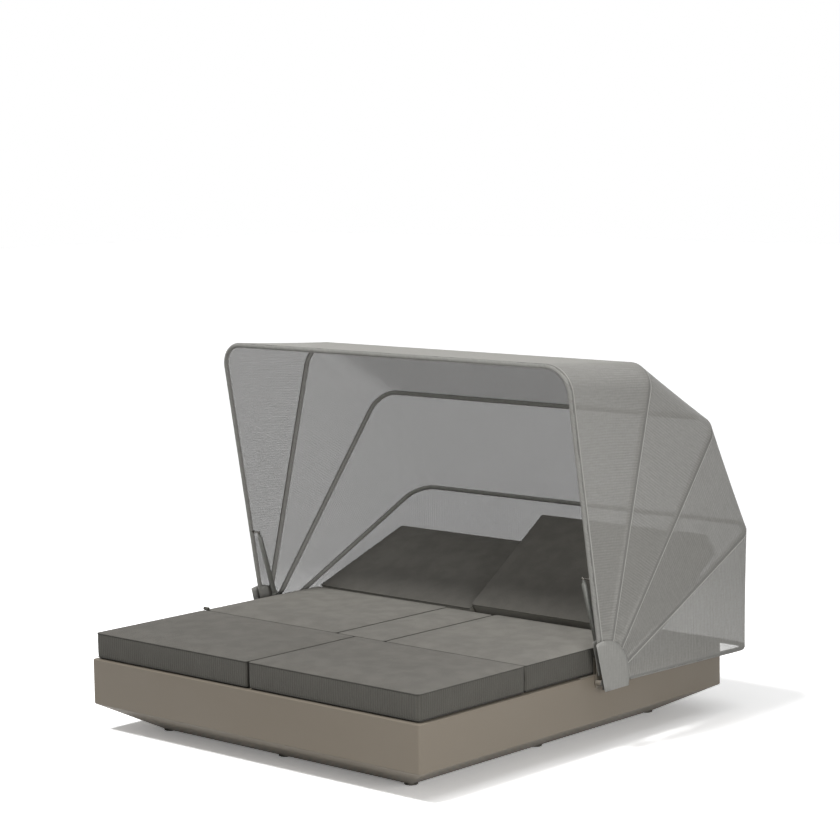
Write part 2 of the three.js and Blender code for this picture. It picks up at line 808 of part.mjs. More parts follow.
function standoff(side, label) {
  const z = hubZ + (standoffY - hubY) * Math.tan(radians(fixedHoopAngle));
  const geometry = rodX(standoffRadius, halfWidth + gap, hubX - tubeRadius - gap, standoffY, z);
  return part(`hoop_standoff_${label}`, mirrored(geometry, side), 'tube');
}

function canopy() {
  const group = new THREE.Group();
  group.position.set(0, hubY, hubZ);
  const hoops = [
    ['fixed', fixedHoopReach, fixedHoopAngle],
    ['rear', rearHoopReach, rearHoopAngle],
    ['back', fixedHoopReach + backHoopExtra, backHoopAngle],
    ['mid', fixedHoopReach + midHoopExtra, midHoopAngle],
    ['front', fixedHoopReach + frontHoopExtra, frontHoopAngle],
  ];
  hoops.forEach(([label, reach, angle], layer) => {
    group.add(hoop(`hoop_${label}`, reach, angle, layer));
    if (layer > 0) {
      const [, lowReach, lowAngle] = hoops[layer - 1];
      group.add(fabricPanel(`fabric_${label}`, lowReach, lowAngle, reach, angle));
    }
  });
  return group;
}

const daybed = new THREE.Group();
daybed.name = 'daybed';
daybed.position.set(0, frameShiftY, -groundZ);
daybed.add(baseShell());
footPlaces().forEach(([x, y], i) => daybed.add(foot(i + 1, x, y)));
daybed.add(...seatCushions());
daybed.add(...back(-1, 'left', leftRecline), ...back(1, 'right', rightRecline));
daybed.add(canopy());
[[-1, 'left'], [1, 'right']].forEach(([side, label]) => {
  daybed.add(bracket(side, label), axle(side, label), hubCover(side, label));
  daybed.add(...strutParts(side, label), standoff(side, label));
});

export default daybed;
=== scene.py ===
"""Outdoor daybed with a folding canopy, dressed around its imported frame.

Every length is in metres and every piece lies in the frame's own axes: the floor is z = 0, the
front of the daybed is towards -Y and the canopy stands over +Y.
"""

import json
import logging
import math
from collections.abc import Callable
from dataclasses import dataclass, field, replace
from enum import Enum

import bmesh
import bpy
from bmesh.types import BMEdge, BMesh, BMFace, BMVert
from bpy.types import Material, NodeSocket, NodeTree, Object
from mathutils import Matrix, Vector, noise


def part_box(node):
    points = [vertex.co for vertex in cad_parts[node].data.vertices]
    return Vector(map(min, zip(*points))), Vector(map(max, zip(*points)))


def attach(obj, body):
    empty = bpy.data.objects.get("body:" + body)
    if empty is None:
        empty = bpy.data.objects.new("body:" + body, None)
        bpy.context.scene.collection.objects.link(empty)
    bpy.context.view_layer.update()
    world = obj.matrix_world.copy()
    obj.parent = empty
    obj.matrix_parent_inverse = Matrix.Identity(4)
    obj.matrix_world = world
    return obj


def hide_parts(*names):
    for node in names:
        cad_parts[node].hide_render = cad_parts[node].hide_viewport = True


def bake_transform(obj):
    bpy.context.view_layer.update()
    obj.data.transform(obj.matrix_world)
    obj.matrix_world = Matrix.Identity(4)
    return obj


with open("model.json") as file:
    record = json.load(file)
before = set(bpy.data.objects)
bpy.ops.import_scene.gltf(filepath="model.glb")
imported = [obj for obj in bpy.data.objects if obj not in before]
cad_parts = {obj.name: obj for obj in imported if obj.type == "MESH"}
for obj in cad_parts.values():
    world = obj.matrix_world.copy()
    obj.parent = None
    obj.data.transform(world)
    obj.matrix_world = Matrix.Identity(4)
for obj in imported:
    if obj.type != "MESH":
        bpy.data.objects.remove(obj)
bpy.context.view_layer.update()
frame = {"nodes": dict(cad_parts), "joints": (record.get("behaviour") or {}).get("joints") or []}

LOG = logging.getLogger("daybed")
SIDES = {"left": -1, "right": 1}
FRONT_HOOP_ANGLE = 99.9
NOISE_SEED = 1
# What counts as level or in line, and what counts as the same height.
LEVEL = 0.001
HAIR = 0.0001


class Slot(Enum):
    """The record's material slots, by the piece's finish."""

    BASE = "base_resin"
    CUSHION = "cushion_fabric"
    MESH = "canopy_mesh"
    COVER = "hub_cover_fabric"
    HOOP = "hoop_aluminium"
    STRUT = "strut_paint"
    STEEL = "steel"
    BOARD = "board_resin"
    RUBBER = "glide_rubber"


class Panel(Enum):
    """The faces of a box cushion that take different cloths: top, side band, and a near-black band round the foot and
    underneath that is painted shade.
    """

    TOP = 0
    SIDE = 1
    # Painted shade: the foot band and the underside are near-black for the shadow gap against the deck.
    BASE = 2


def joint(name: str) -> dict:
    """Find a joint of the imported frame.

    Args:
        name: The joint's name.

    Returns:
        The joint's entry in the record.
    """
    return next(entry for entry in frame["joints"] if entry["name"] == name)


def plan_middle(low: Vector, high: Vector, height: float) -> Vector:
    """Find the middle of a box, seen from above.

    Args:
        low: The box's lowest corner.
        high: The box's highest corner.
        height: The height at which the point lies.

    Returns:
        The point.
    """
    return Vector(((low.x + high.x) / 2, (low.y + high.y) / 2, height))


def deck_origin() -> Vector:
    """Return the middle of the deck, from the base's box."""
    low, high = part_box("base_shell")
    return plan_middle(low, high, high.z)


DECK = deck_origin()


def linked(name: str, data: bpy.types.ID) -> Object:
    """Put a new object into the scene.

    Args:
        name: Its name.
        data: Its mesh, curve, light or camera.

    Returns:
        The object.
    """
    item = bpy.data.objects.new(name, data)
    bpy.context.scene.collection.objects.link(item)
    return item


def along_x(start: Vector, side: int = 1) -> Matrix:
    """Turn a lathe's axis along X.

    Args:
        start: Where the axis starts.
        side: 1 to point it to the right, -1 to the left.

    Returns:
        The matrix from the lathe to the frame.
    """
    return Matrix.Translation(start) @ Matrix.Rotation(math.radians(90 * side), 4, "Y")


class Nodes:
    """A node tree that is built a node at a time."""

    def __init__(self, tree: NodeTree) -> None:
        """Take up a tree.

        Args:
            tree: The tree to build.
        """
        self.nodes = tree.nodes
        self.links = tree.links

    def feed(self, socket: NodeSocket, value: object) -> None:
        """Link a socket, or set its plain value.

        Args:
            socket: The input to fill.
            value: Another node's output, or a number or colour.
        """
        if isinstance(value, NodeSocket):
            self.links.new(value, socket)
        else:
            socket.default_value = value

    def add(self, kind: str, inputs: dict, output: int = 0, **settings: object) -> NodeSocket:
        """Add a node.

        Args:
            kind: The node's type name.
            inputs: What fills its inputs, by their names or numbers.
            output: The number of the output to return.
            **settings: The node's own options.

        Returns:
            The node's output socket.
        """
        node = self.nodes.new(kind)
        for name, value in settings.items():
            setattr(node, name, value)
        for key, value in inputs.items():
            self.feed(node.inputs[key], value)
        return node.outputs[output]

    def math(self, operation: str, *values: object) -> NodeSocket:
        """Add a Math node.

        Args:
            operation: The node's operation.
            *values: Its inputs in order.

        Returns:
            The result's socket.
        """
        return self.add("ShaderNodeMath", dict(enumerate(values)), operation=operation)

    def seen(self) -> NodeSocket:
        """Return a socket that is 1 for rays from the camera, mirrors and glass."""
        path = self.nodes.new("ShaderNodeLightPath").outputs
        mirrored = self.math("MAXIMUM", path["Is Camera Ray"], path["Is Glossy Ray"])
        return self.math("MAXIMUM", mirrored, path["Is Transmission Ray"])

    def end(self, name: str, result: NodeSocket) -> None:
        """Show a result as the surface.

        Args:
            name: The output node's name.
            result: The shader's socket.
        """
        self.links.new(result, self.nodes[name].inputs["Surface"])


class Shader(Nodes):
    """A node material."""

    def __init__(self, name: str) -> None:
        """Start an empty material with a Principled shader.

        Args:
            name: The material's name.
        """
        self.material = bpy.data.materials.new(name)
        self.material.use_nodes = True
        super().__init__(self.material.node_tree)
        self.shader = self.nodes["Principled BSDF"]

    def place(self) -> NodeSocket:
        """Return the Object coordinates."""
        return self.add("ShaderNodeTexCoord", {}, output=3)

    def cloth_place(self) -> NodeSocket:
        """Return the piece's UV map, which is in metres of cloth."""
        return self.add("ShaderNodeTexCoord", {}, output=2)

    def attribute(self, name: str) -> NodeSocket:
        """Return a float attribute of the mesh."""
        return self.add("ShaderNodeAttribute", {}, output=2, attribute_name=name)

    def axis(self, vector: object, index: int) -> NodeSocket:
        """Return one component of a vector socket."""
        return self.add("ShaderNodeSeparateXYZ", {0: vector}, output=index)

    def stretched(self, vector: object, scale: tuple) -> NodeSocket:
        """Scale a coordinate unevenly.

        Args:
            vector: The coordinate's socket.
            scale: The three factors.

        Returns:
            The scaled coordinate.
        """
        return self.add("ShaderNodeMapping", {"Vector": vector, "Scale": scale})

    def speckle(self, vector: object, scale: float, detail: float = 2.0, rough: float = 0.5) -> NodeSocket:
        """Add a noise.

        Args:
            vector: The coordinate's socket.
            scale: The noise's scale, per metre.
            detail: Its octaves.
            rough: How strong the finer octaves are.

        Returns:
            The noise's value, about 0.5 on the whole.
        """
        return self.add("ShaderNodeTexNoise",
                        {"Vector": vector, "Scale": scale, "Detail": detail, "Roughness": rough})

    def ridges(self, coordinate: object, pitch: float) -> NodeSocket:
        """Make even ridges along a coordinate.

        Args:
            coordinate: A length, in metres.
            pitch: The distance from one ridge to the next.

        Returns:
            A height from 0 to 1.
        """
        wave = self.math("SINE", self.math("MULTIPLY", coordinate, math.tau / pitch))
        return self.math("MULTIPLY_ADD", wave, 0.5, 0.5)

    def fade(self, value: object, low: float, high: float, start: float, end: float) -> NodeSocket:
        """Map a value's range smoothly to another.

        Args:
            value: The socket to map.
            low: The value that gives start.
            high: The value that gives end.
            start: The result at low.
            end: The result at high.

        Returns:
            The mapped value.
        """
        return self.add("ShaderNodeMapRange",
                        {"Value": value, "From Min": low, "From Max": high, "To Min": start, "To Max": end},
                        interpolation_type="SMOOTHSTEP")

    def tint(self, factor: object, dark: tuple, light: tuple) -> NodeSocket:
        """Blend two colours.

        Args:
            factor: Where between them, from 0 to 1.
            dark: The colour at 0.
            light: The colour at 1.

        Returns:
            The colour's socket.
        """
        return self.add("ShaderNodeMix", {"Factor": factor, 6: (*dark, 1.0), 7: (*light, 1.0)}, output=2,
                        data_type="RGBA")

    def tones(self, factor: object, colour: tuple, share: tuple, shade: float = 1.0) -> NodeSocket:
        """Blend a darker and a lighter tone of a colour.

        Args:
            factor: Where between them, from 0 to 1.
            colour: The colour.
            share: The darker and the lighter tone's share of it.
            shade: A factor on both tones.

        Returns:
            The colour's socket.
        """
        dark, light = share
        return self.tint(factor, scaled(colour, dark * shade), scaled(colour, light * shade))

    def over(self, factor: object, below: object, above: object) -> NodeSocket:
        """Lay a colour over another.

        Args:
            factor: How much of the upper one shows, from 0 to 1.
            below: The lower colour.
            above: The upper colour.

        Returns:
            The colour's socket.
        """
        return self.add("ShaderNodeMixRGB", {"Fac": factor, "Color1": below, "Color2": above})

    def bump(self, height: object, depth: float, below: object = None) -> NodeSocket:
        """Add a bump.

        Args:
            height: The height's socket, from 0 to 1.
            depth: The height at 1, in metres.
            below: The normal of a coarser bump, if any.

        Returns:
            The bumped normal.
        """
        inputs = {"Height": height, "Distance": depth, "Strength": 1.0}
        if below is not None:
            inputs["Normal"] = below
        return self.add("ShaderNodeBump", inputs)

    def finish(self, **sockets: object) -> Material:
        """Fill the Principled shader.

        Args:
            **sockets: Values or sockets, by input name with underscores for spaces.

        Returns:
            The finished material.
        """
        for name, value in sockets.items():
            self.feed(self.shader.inputs[name.replace("_", " ")], value)
        return self.material


def scaled(colour: tuple, factor: float) -> tuple:
    """Return a colour made lighter or darker by a factor."""
    return tuple(channel * factor for channel in colour)


@dataclass(frozen=True)
class MouldedResin:
    """Rotation-moulded resin with a fine grain and faint clouds."""

    name: str
    colour: tuple
    roughness: float = 0.58
    grain: float = 0.00012
    peel: float = 0.00025
    cloud_scale: float = 2.2
    grain_scale: float = 900.0
    peel_scale: float = 120.0
    share: tuple = (0.93, 1.07)

    def make(self) -> Material:
        """Build the material."""
        s = Shader(self.name)
        place = s.place()
        clouds = s.speckle(place, self.cloud_scale, 3.0)
        grain = s.speckle(place, self.grain_scale, 3.0, 0.6)
        peel = s.speckle(place, self.peel_scale)
        flecks = s.fade(grain, 0.35, 0.65, 0.0, 1.0)
        shade = s.math("MULTIPLY_ADD", flecks, 0.25, s.math("MULTIPLY", clouds, 0.75))
        normal = s.bump(grain, self.grain, s.bump(peel, self.peel))
        rough = s.fade(clouds, 0.3, 0.7, self.roughness - 0.05, self.roughness + 0.06)
        return s.finish(Base_Color=s.tones(shade, self.colour, self.share), Roughness=rough, Normal=normal,
                        Specular_IOR_Level=0.4)


@dataclass(frozen=True)
class CushionCloth:
    """Heathered outdoor cloth with a corded weave.

    The cords run up the sides and along the tops. The UV map is in metres of cloth.
    """

    name: str
    colour: tuple
    cord_pitch: float
    cord_depth: float
    cord_painted_shade: float
    clouding: float
    painted_shade_share: float = 1.0
    painted_shade_until: float = 0.0
    unshaded_from: float = 1.0
    share: tuple = (0.78, 1.3)
    warp_pitch: float = 0.0027
    weft_pitch: float = 0.0031
    weave_depth: float = 0.00035
    pucker_depth: float = 0.0016
    seam_painted_shade: float = 0.1

    def make(self) -> Material:
        """Build the material."""
        s = Shader(self.name)
        cloth, place = s.cloth_place(), s.place()
        along, across = s.axis(cloth, 0), s.axis(cloth, 1)
        wander = s.math("MULTIPLY", s.speckle(place, 40.0), self.cord_pitch * 0.35)
        cords = s.ridges(s.math("ADD", along, wander), self.cord_pitch)
        weave = s.math("MULTIPLY", s.ridges(along, self.warp_pitch), s.ridges(across, self.weft_pitch))
        heather = s.speckle(s.stretched(cloth, (1.0, 0.35, 1.0)), 420.0, 3.0, 0.7)
        soft = s.fade(s.speckle(place, 11.0, 4.0, 0.55), 0.32, 0.7, 0.0, self.clouding)
        fleck = s.fade(heather, 0.3, 0.7, 0.0, 0.3)
        # Painted shade: the grooves between the cords are darkened and their crests lightened in the colour, in step
        # with their bump.
        ribs = s.math("MULTIPLY", cords, self.cord_painted_shade)
        shade = s.math("ADD", s.math("ADD", soft, fleck), s.math("MULTIPLY_ADD", weave, 0.1, ribs))
        # Painted shade: the colour is darkened along the corner seams, where the crease falls in shade.
        shade = s.math("MULTIPLY", shade, s.fade(s.attribute("seam"), 0.0, 1.0, 1.0, self.seam_painted_shade))
        colour = s.tones(shade, self.colour, self.share)
        # Painted shade: the colour is darker towards -Y on the cushion, ramped in between, to match how the light
        # falls across the seat.
        if self.painted_shade_share < 1:
            unshaded = s.fade(s.axis(place, 1), self.painted_shade_until, self.unshaded_from, 0.0, 1.0)
            colour = s.over(unshaded, s.tones(shade, self.colour, self.share, self.painted_shade_share), colour)
        corded = s.bump(cords, self.cord_depth, s.bump(s.speckle(place, 14.0), self.pucker_depth))
        normal = s.bump(s.math("ADD", weave, heather), self.weave_depth, corded)
        return s.finish(Base_Color=colour, Roughness=0.94, Normal=normal,
                        Specular_IOR_Level=0.2, Sheen_Weight=0.12, Sheen_Roughness=0.5)


@dataclass(frozen=True)
class ShadeMesh:
    """Coated open mesh cloth that lets some light and sight through.

    A sheet has two faces, so each lets through the square root of the whole sheet's share. The
    cloth's ribs run across from hoop to hoop, and its UV map is in metres of cloth.
    """

    name: str
    colour: tuple
    cover: float
    is_panel: bool = True
    rib_pitch: float = 0.0118
    rib_cover: float = 0.024
    streak_cover: float = 0.22
    thread_shade: float = 1.3
    roof_cover: float = 0.09
    roof_painted_sheen: float = 1.27
    tube_contact: float = 0.0085
    hoop_painted_shading: float = 0.5
    tape_width: float = 0.0135
    tape_shade: float = 1.05
    edge_cover: float = 0.96
    share: tuple = (0.8, 1.2)
    warp_pitch: float = 0.0034
    weft_pitch: float = 0.0042
    weave_depth: float = 0.0004

    def make(self) -> Material:
        """Build the material."""
        s = Shader(self.name)
        cloth = s.cloth_place()
        along, across = s.axis(cloth, 0), s.axis(cloth, 1)
        weave = s.math("MAXIMUM", s.ridges(along, self.warp_pitch), s.ridges(across, self.weft_pitch))
        streaks = s.speckle(s.stretched(cloth, (1.0, 0.16, 1.0)), 105.0, 2.0, 0.6)
        knots = s.speckle(s.stretched(cloth, (0.55, 0.8, 1.0)), 125.0, 2.0, 0.6)
        wander = s.math("MULTIPLY", s.speckle(s.stretched(cloth, (1.0, 0.3, 1.0)), 9.0), 0.02)
        ribs = s.ridges(s.math("ADD", along, wander), self.rib_pitch)
        patches = s.fade(s.speckle(s.place(), 3.0), 0.4, 0.62, 0.25, 1.0)
        threads = s.math("SUBTRACT", s.math("MULTIPLY_ADD", knots, 0.45, s.math("MULTIPLY", streaks, 0.55)), 0.5)
        corded = s.math("MULTIPLY", s.math("SUBTRACT", ribs, 0.5), patches)
        cover = s.math("MULTIPLY_ADD", threads, self.streak_cover, self.cover)
        cover = s.math("MULTIPLY_ADD", corded, self.rib_cover, cover)
        shade = s.math("MULTIPLY_ADD", threads, self.thread_shade, s.math("MULTIPLY_ADD", corded, 0.25, 0.5))
        colour = s.tones(shade, self.colour, self.share)
        if self.is_panel:
            # Painted sheen: the roof is coloured lighter, for cloth seen at a grazing angle, and lets less through.
            roof = s.attribute("roof")
            colour = s.over(roof, colour, s.tones(shade, self.colour, self.share, self.roof_painted_sheen))
            cover = s.math("MULTIPLY_ADD", roof, self.roof_cover, cover)
            colour, cover = self.hems(s, colour, cover)
        normal = s.bump(s.math("ADD", weave, s.math("MULTIPLY", corded, 2.0)), self.weave_depth)
        return s.finish(Base_Color=colour, Roughness=0.8, Normal=normal, Alpha=cover,
                        Specular_IOR_Level=0.25, Sheen_Weight=0.1)

    def hems(self, s: Shader, colour: NodeSocket, cover: NodeSocket) -> tuple:
        """Mark where the cloth lies on a hoop, and the tape that is sewn beside it.

        Args:
            s: The material.
            colour: The cloth's colour.
            cover: How much of the light the cloth stops.

        Returns:
            The new colour and cover.
        """
        high, contact, width = s.attribute("from_high"), self.tube_contact, self.tape_width
        near = s.math("MINIMUM", s.attribute("from_low"), high)
        touch = s.fade(near, contact * 0.8, contact, 1.0, 0.0)
        tape = s.math("MULTIPLY", s.fade(high, contact * 0.9, contact * 1.05, 0.0, 1.0),
                      s.fade(high, width * 0.95, width * 1.05, 1.0, 0.0))
        cover = s.math("MAXIMUM", cover, s.math("MULTIPLY", s.math("MAXIMUM", touch, tape), self.edge_cover))
        # Painted shade and light: where the cloth lies on a hoop it is darkened on the outer faces for the tube's
        # shade and lightened on the inner faces; the tape on the front inner face is lightened too.
        for mark, factor in ((touch, self.hoop_painted_shading), (tape, self.tape_shade)):
            colour = s.over(mark, colour, (*scaled(self.colour, factor), 1.0))
        return colour, cover


@dataclass(frozen=True)
class PowderCoat:
    """Powder-coated tube with a fine satin texture."""

    name: str
    colour: tuple
    roughness: float = 0.45
    metallic: float = 0.0
    mottle: float = 0.05
    mottle_scale: float = 14.0

    def make(self) -> Material:
        """Build the material."""
        s = Shader(self.name)
        place = s.place()
        grain = s.speckle(place, 1400.0)
        clouds = s.speckle(place, self.mottle_scale, 3.0)
        colour = s.tones(clouds, self.colour, (1 - self.mottle, 1 + self.mottle))
        rough = s.fade(grain, 0.3, 0.7, self.roughness - 0.08, self.roughness + 0.1)
        return s.finish(Base_Color=colour, Roughness=rough, Normal=s.bump(grain, 0.00008),
                        Metallic=self.metallic)


@dataclass(frozen=True)
class TurnedSteel:
    """Stainless steel with fine turning marks."""

    name: str
    colour: tuple = (0.62, 0.61, 0.59)

    def make(self) -> Material:
        """Build the material."""
        s = Shader(self.name)
        marks = s.speckle(s.stretched(s.place(), (1.0, 1.0, 14.0)), 260.0, 3.0)
        colour = s.tones(marks, self.colour, (0.88, 1.08))
        rough = s.fade(marks, 0.3, 0.7, 0.22, 0.36)
        return s.finish(Base_Color=colour, Roughness=rough, Normal=s.bump(marks, 0.00003), Metallic=1.0)


@dataclass(frozen=True)
class Rubber:
    """Grey glide rubber with scuffs."""

    name: str
    colour: tuple = (0.105, 0.099, 0.086)

    def make(self) -> Material:
        """Build the material."""
        s = Shader(self.name)
        scuffs = s.speckle(s.place(), 160.0, 4.0, 0.65)
        colour = s.tones(s.fade(scuffs, 0.4, 0.75, 0.0, 1.0), self.colour, (1.0, 1.5))
        return s.finish(Base_Color=colour, Roughness=s.fade(scuffs, 0.3, 0.7, 0.6, 0.9),
                        Normal=s.bump(scuffs, 0.0002))


# The pitch, depth and painted shade of the cords and the clouding of the cloth, on flat panels and side bands.
FLAT_CORDS = (0.0052, 0.0003, 0.06, 0.3)
SIDE_CORDS = (0.0132, 0.0013, 0.34, 0.12)
# Painted light and shade: the canopy cloth's inner faces take this dark copy of the cloth and its outer faces a light
# copy, for the shade inside and the light outside.
INNER_FACE_PAINTED_SHADE = (0.150, 0.147, 0.137)


def made(finish: object) -> Material:
    """Return a dataclass field that makes a finish's material."""
    return field(default_factory=finish.make)


@dataclass
class Finishes:
    """All the finishes of the daybed, each made once."""

    base: Material = made(MouldedResin("base_resin_taupe", (0.236, 0.203, 0.160)))
    # The seat and back cushions share one cloth: their different colours and their darker ramps towards -Y are painted
    # light and shade.
    cushion_front: Material = made(CushionCloth(
        "cushion_cloth_front", (0.200, 0.190, 0.169), *FLAT_CORDS, painted_shade_share=0.85, painted_shade_until=-0.90, unshaded_from=-0.46))
    cushion_middle: Material = made(CushionCloth(
        "cushion_cloth_middle", (0.285, 0.272, 0.244), *FLAT_CORDS, painted_shade_share=0.82, painted_shade_until=-0.46, unshaded_from=-0.05))
    cushion_back: Material = made(CushionCloth(
        "cushion_cloth_back", (0.225, 0.215, 0.192), *FLAT_CORDS, painted_shade_share=0.8, painted_shade_until=0.34, unshaded_from=0.62))
    # Painted light: the backs' side band is a far lighter copy of the side cloth, to lift a wall that sits in shade.
    cushion_back_side_painted_light: Material = made(CushionCloth("cushion_cloth_back_side_painted_light", (0.42, 0.402, 0.353), *SIDE_CORDS))
    # Painted shade: a near-black cloth round the cushions' foot, for the shadow gap against the deck.
    cushion_foot_painted_shade: Material = made(CushionCloth("cushion_cloth_foot_painted_shade", (0.022, 0.021, 0.019), *FLAT_CORDS))
    cushion_side: Material = made(CushionCloth("cushion_cloth_side", (0.120, 0.115, 0.100), *SIDE_CORDS))
    # The welts' dark cloth is partly piping and partly painted shade of the groove along the rims.
    welt: Material = made(CushionCloth("cushion_cloth_welt", (0.075, 0.072, 0.063), 0.004, 0.0002, 0.2, 0.2))
    # Painted light: the outer faces' colour is the lit copy of the canopy cloth.
    mesh: Material = made(ShadeMesh(
        "canopy_mesh", (0.560, 0.549, 0.515), 0.53, rib_cover=0.02, streak_cover=0.12, thread_shade=0.7))
    mesh_inner_painted_shade: Material = made(ShadeMesh(
        "canopy_mesh_inner_painted_shade", INNER_FACE_PAINTED_SHADE, 0.53, rib_cover=0.05, streak_cover=0.14, roof_painted_sheen=1.0,
        hoop_painted_shading=3.0, tape_width=0.0085))
    mesh_front_inner_painted_shade: Material = made(ShadeMesh(
        "canopy_mesh_front_inner_painted_shade", INNER_FACE_PAINTED_SHADE, 0.53, rib_cover=0.06, streak_cover=0.14, roof_painted_sheen=1.0,
        hoop_painted_shading=3.0, tape_width=0.0190, tape_shade=2.4))
    mesh_rear: Material = made(ShadeMesh(
        "canopy_mesh_rear", (0.580, 0.569, 0.534), 0.53, rib_cover=0.05, streak_cover=0.16, thread_shade=0.7))
    mesh_rear_inner_painted_shade: Material = made(ShadeMesh(
        "canopy_mesh_rear_inner_painted_shade", INNER_FACE_PAINTED_SHADE, 0.53, rib_cover=0.13, streak_cover=0.2,
        hoop_painted_shading=3.0, tape_width=0.0085))
    sleeve: Material = made(ShadeMesh("canopy_sleeve", (0.37, 0.364, 0.341), 0.96, is_panel=False))
    pocket: Material = made(ShadeMesh("canopy_hoop_pocket", (0.38, 0.374, 0.350), 0.97, is_panel=False))
    cover: Material = made(ShadeMesh(
        "hub_cover_mesh", (0.45, 0.443, 0.416), 0.85, streak_cover=0.12, thread_shade=0.7, is_panel=False))
    bracket: Material = made(PowderCoat("bracket_paint", (0.25, 0.222, 0.182)))
    tube: Material = made(PowderCoat("hoop_coating", (0.19, 0.186, 0.172)))
    strut: Material = made(PowderCoat("strut_paint", (0.20, 0.202, 0.185), 0.5, 0.15, mottle=0.22, mottle_scale=60.0))
    steel: Material = made(TurnedSteel("steel_turned"))
    dark_steel: Material = made(TurnedSteel("steel_blackened", (0.13, 0.122, 0.11)))
    board: Material = made(MouldedResin("board_resin_grey", (0.15, 0.138, 0.12), 0.65, 0.0002))
    rubber: Material = made(Rubber("glide_rubber_grey"))


def new_piece(name: str, bm: BMesh, body: str, slot: Slot, *materials: Material,
              replaces: tuple = (), crease: float = 32.0, blended: bool = False) -> Object:
    """Turn a bmesh into a finished piece of the daybed.

    Args:
        name: The piece's name.
        bm: Its mesh in the frame's axes, which is freed.
        body: The body it rides on.
        slot: The record's slot of its finish; not used.
        *materials: Its materials in the order of the face indices.
        replaces: The CAD nodes that it stands for.
        crease: Edges sharper than this many degrees stay sharp.
        blended: True if the caller blends it between two bodies itself.

    Returns:
        The new object.
    """
    mesh = bpy.data.meshes.new(name)
    bm.to_mesh(mesh)
    bm.free()
    for polygon in mesh.polygons:
        polygon.use_smooth = True
    mesh.set_sharp_from_angle(angle=math.radians(crease))
    for material in materials:
        mesh.materials.append(material)
    piece = linked(name, mesh)
    if not blended:
        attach(piece, body)
    if replaces:
        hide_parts(*replaces)
    LOG.info("%s: %d faces on %s", name, len(mesh.polygons), body)
    return piece


def fresh_verts(made: dict) -> list:
    """Return the vertices among what a bmesh operator made."""
    return [item for item in made if isinstance(item, BMVert)]


def close_and_face_out(bm: BMesh) -> None:
    """Fill the open ends of a bmesh and turn its faces outwards."""
    open_edges = [edge for edge in bm.edges if edge.is_boundary]
    if open_edges:
        bmesh.ops.holes_fill(bm, edges=open_edges, sides=0)
    bmesh.ops.recalc_face_normals(bm, faces=bm.faces)


class Bar:
    """A round bar that is drawn along straight runs and bends."""

    def __init__(self, radius: float, start: Vector, heading: Vector, sides: int = 24) -> None:
        """Start the bar as a ring.

        Args:
            radius: The bar's radius.
            start: The middle of its first ring.
            heading: The direction in which it is drawn first.
            sides: How many sides its section has.
        """
        self.bm = bmesh.new()
        self.heading = heading.normalized()
        self.centre = start.copy()
        turn = Vector((0, 0, 1)).rotation_difference(self.heading).to_matrix().to_4x4()
        bmesh.ops.create_circle(self.bm, radius=radius, segments=sides, matrix=Matrix.Translation(start) @ turn)
        self.rim = list(self.bm.edges)
        self.first = (list(self.bm.edges), start.copy(), -self.heading)

    def take(self, made: list) -> list:
        """Make the last ring of what an operator made the new rim, and return its vertices."""
        verts = set(fresh_verts(made))
        self.rim = [e for e in made if isinstance(e, BMEdge) and set(e.verts) <= verts]
        return list(verts)

    def run(self, length: float, steps: int = 1) -> "Bar":
        """Draw the bar straight on.

        Args:
            length: How far.
            steps: In how many rings.

        Returns:
            The bar.
        """
        for _ in range(steps):
            made = bmesh.ops.extrude_edge_only(self.bm, edges=self.rim)["geom"]
            move = self.heading * (length / steps)
            bmesh.ops.translate(self.bm, verts=self.take(made), vec=move)
            self.centre += move
        return self

    def bend(self, axis: Vector, radius: float, degrees: float, steps: int = 10) -> "Bar":
        """Bend the bar.

        Args:
            axis: The bend's axis, about which it turns by the right-hand rule.
            radius: The bend's radius at the bar's middle.
            degrees: How far it turns.
            steps: In how many rings.

        Returns:
            The bar.
        """
        angle = math.radians(degrees)
        middle = self.centre + axis.cross(self.heading) * (radius * math.copysign(1, degrees))
        geom = list({v for e in self.rim for v in e.verts}) + self.rim
        made = bmesh.ops.spin(self.bm, geom=geom, cent=middle, axis=axis, angle=angle, steps=steps,
                              use_duplicate=False)["geom_last"]
        self.take(made)
        turn = Matrix.Rotation(angle, 3, axis)
        self.centre = middle + turn @ (self.centre - middle)
        self.heading = turn @ self.heading
        return self

    def shape(self, length: float, factors: Vector, shift: Vector = Vector()) -> "Bar":
        """Draw the bar on with its section scaled.

        Args:
            length: How far.
            factors: The section's scale along each axis of the frame.
            shift: A sideways move of the new ring.

        Returns:
            The bar.
        """
        made = bmesh.ops.extrude_edge_only(self.bm, edges=self.rim)["geom"]
        verts = self.take(made)
        bmesh.ops.scale(self.bm, vec=factors, space=Matrix.Translation(-self.centre), verts=verts)
        move = self.heading * length + shift
        bmesh.ops.translate(self.bm, verts=verts, vec=move)
        self.centre += move
        return self

    def other_end(self) -> "Bar":
        """Go on from the bar's first ring, and return the bar."""
        edges, centre, heading = self.first
        self.rim, self.centre, self.heading = edges, centre.copy(), heading.copy()
        return self

    def done(self, place: Matrix = Matrix()) -> BMesh:
        """Close the bar's ends and put it in place.

        Args:
            place: The matrix from the drawing to the frame.

        Returns:
            The finished bmesh.
        """
        close_and_face_out(self.bm)
        bmesh.ops.transform(self.bm, matrix=place, verts=self.bm.verts)
        return self.bm


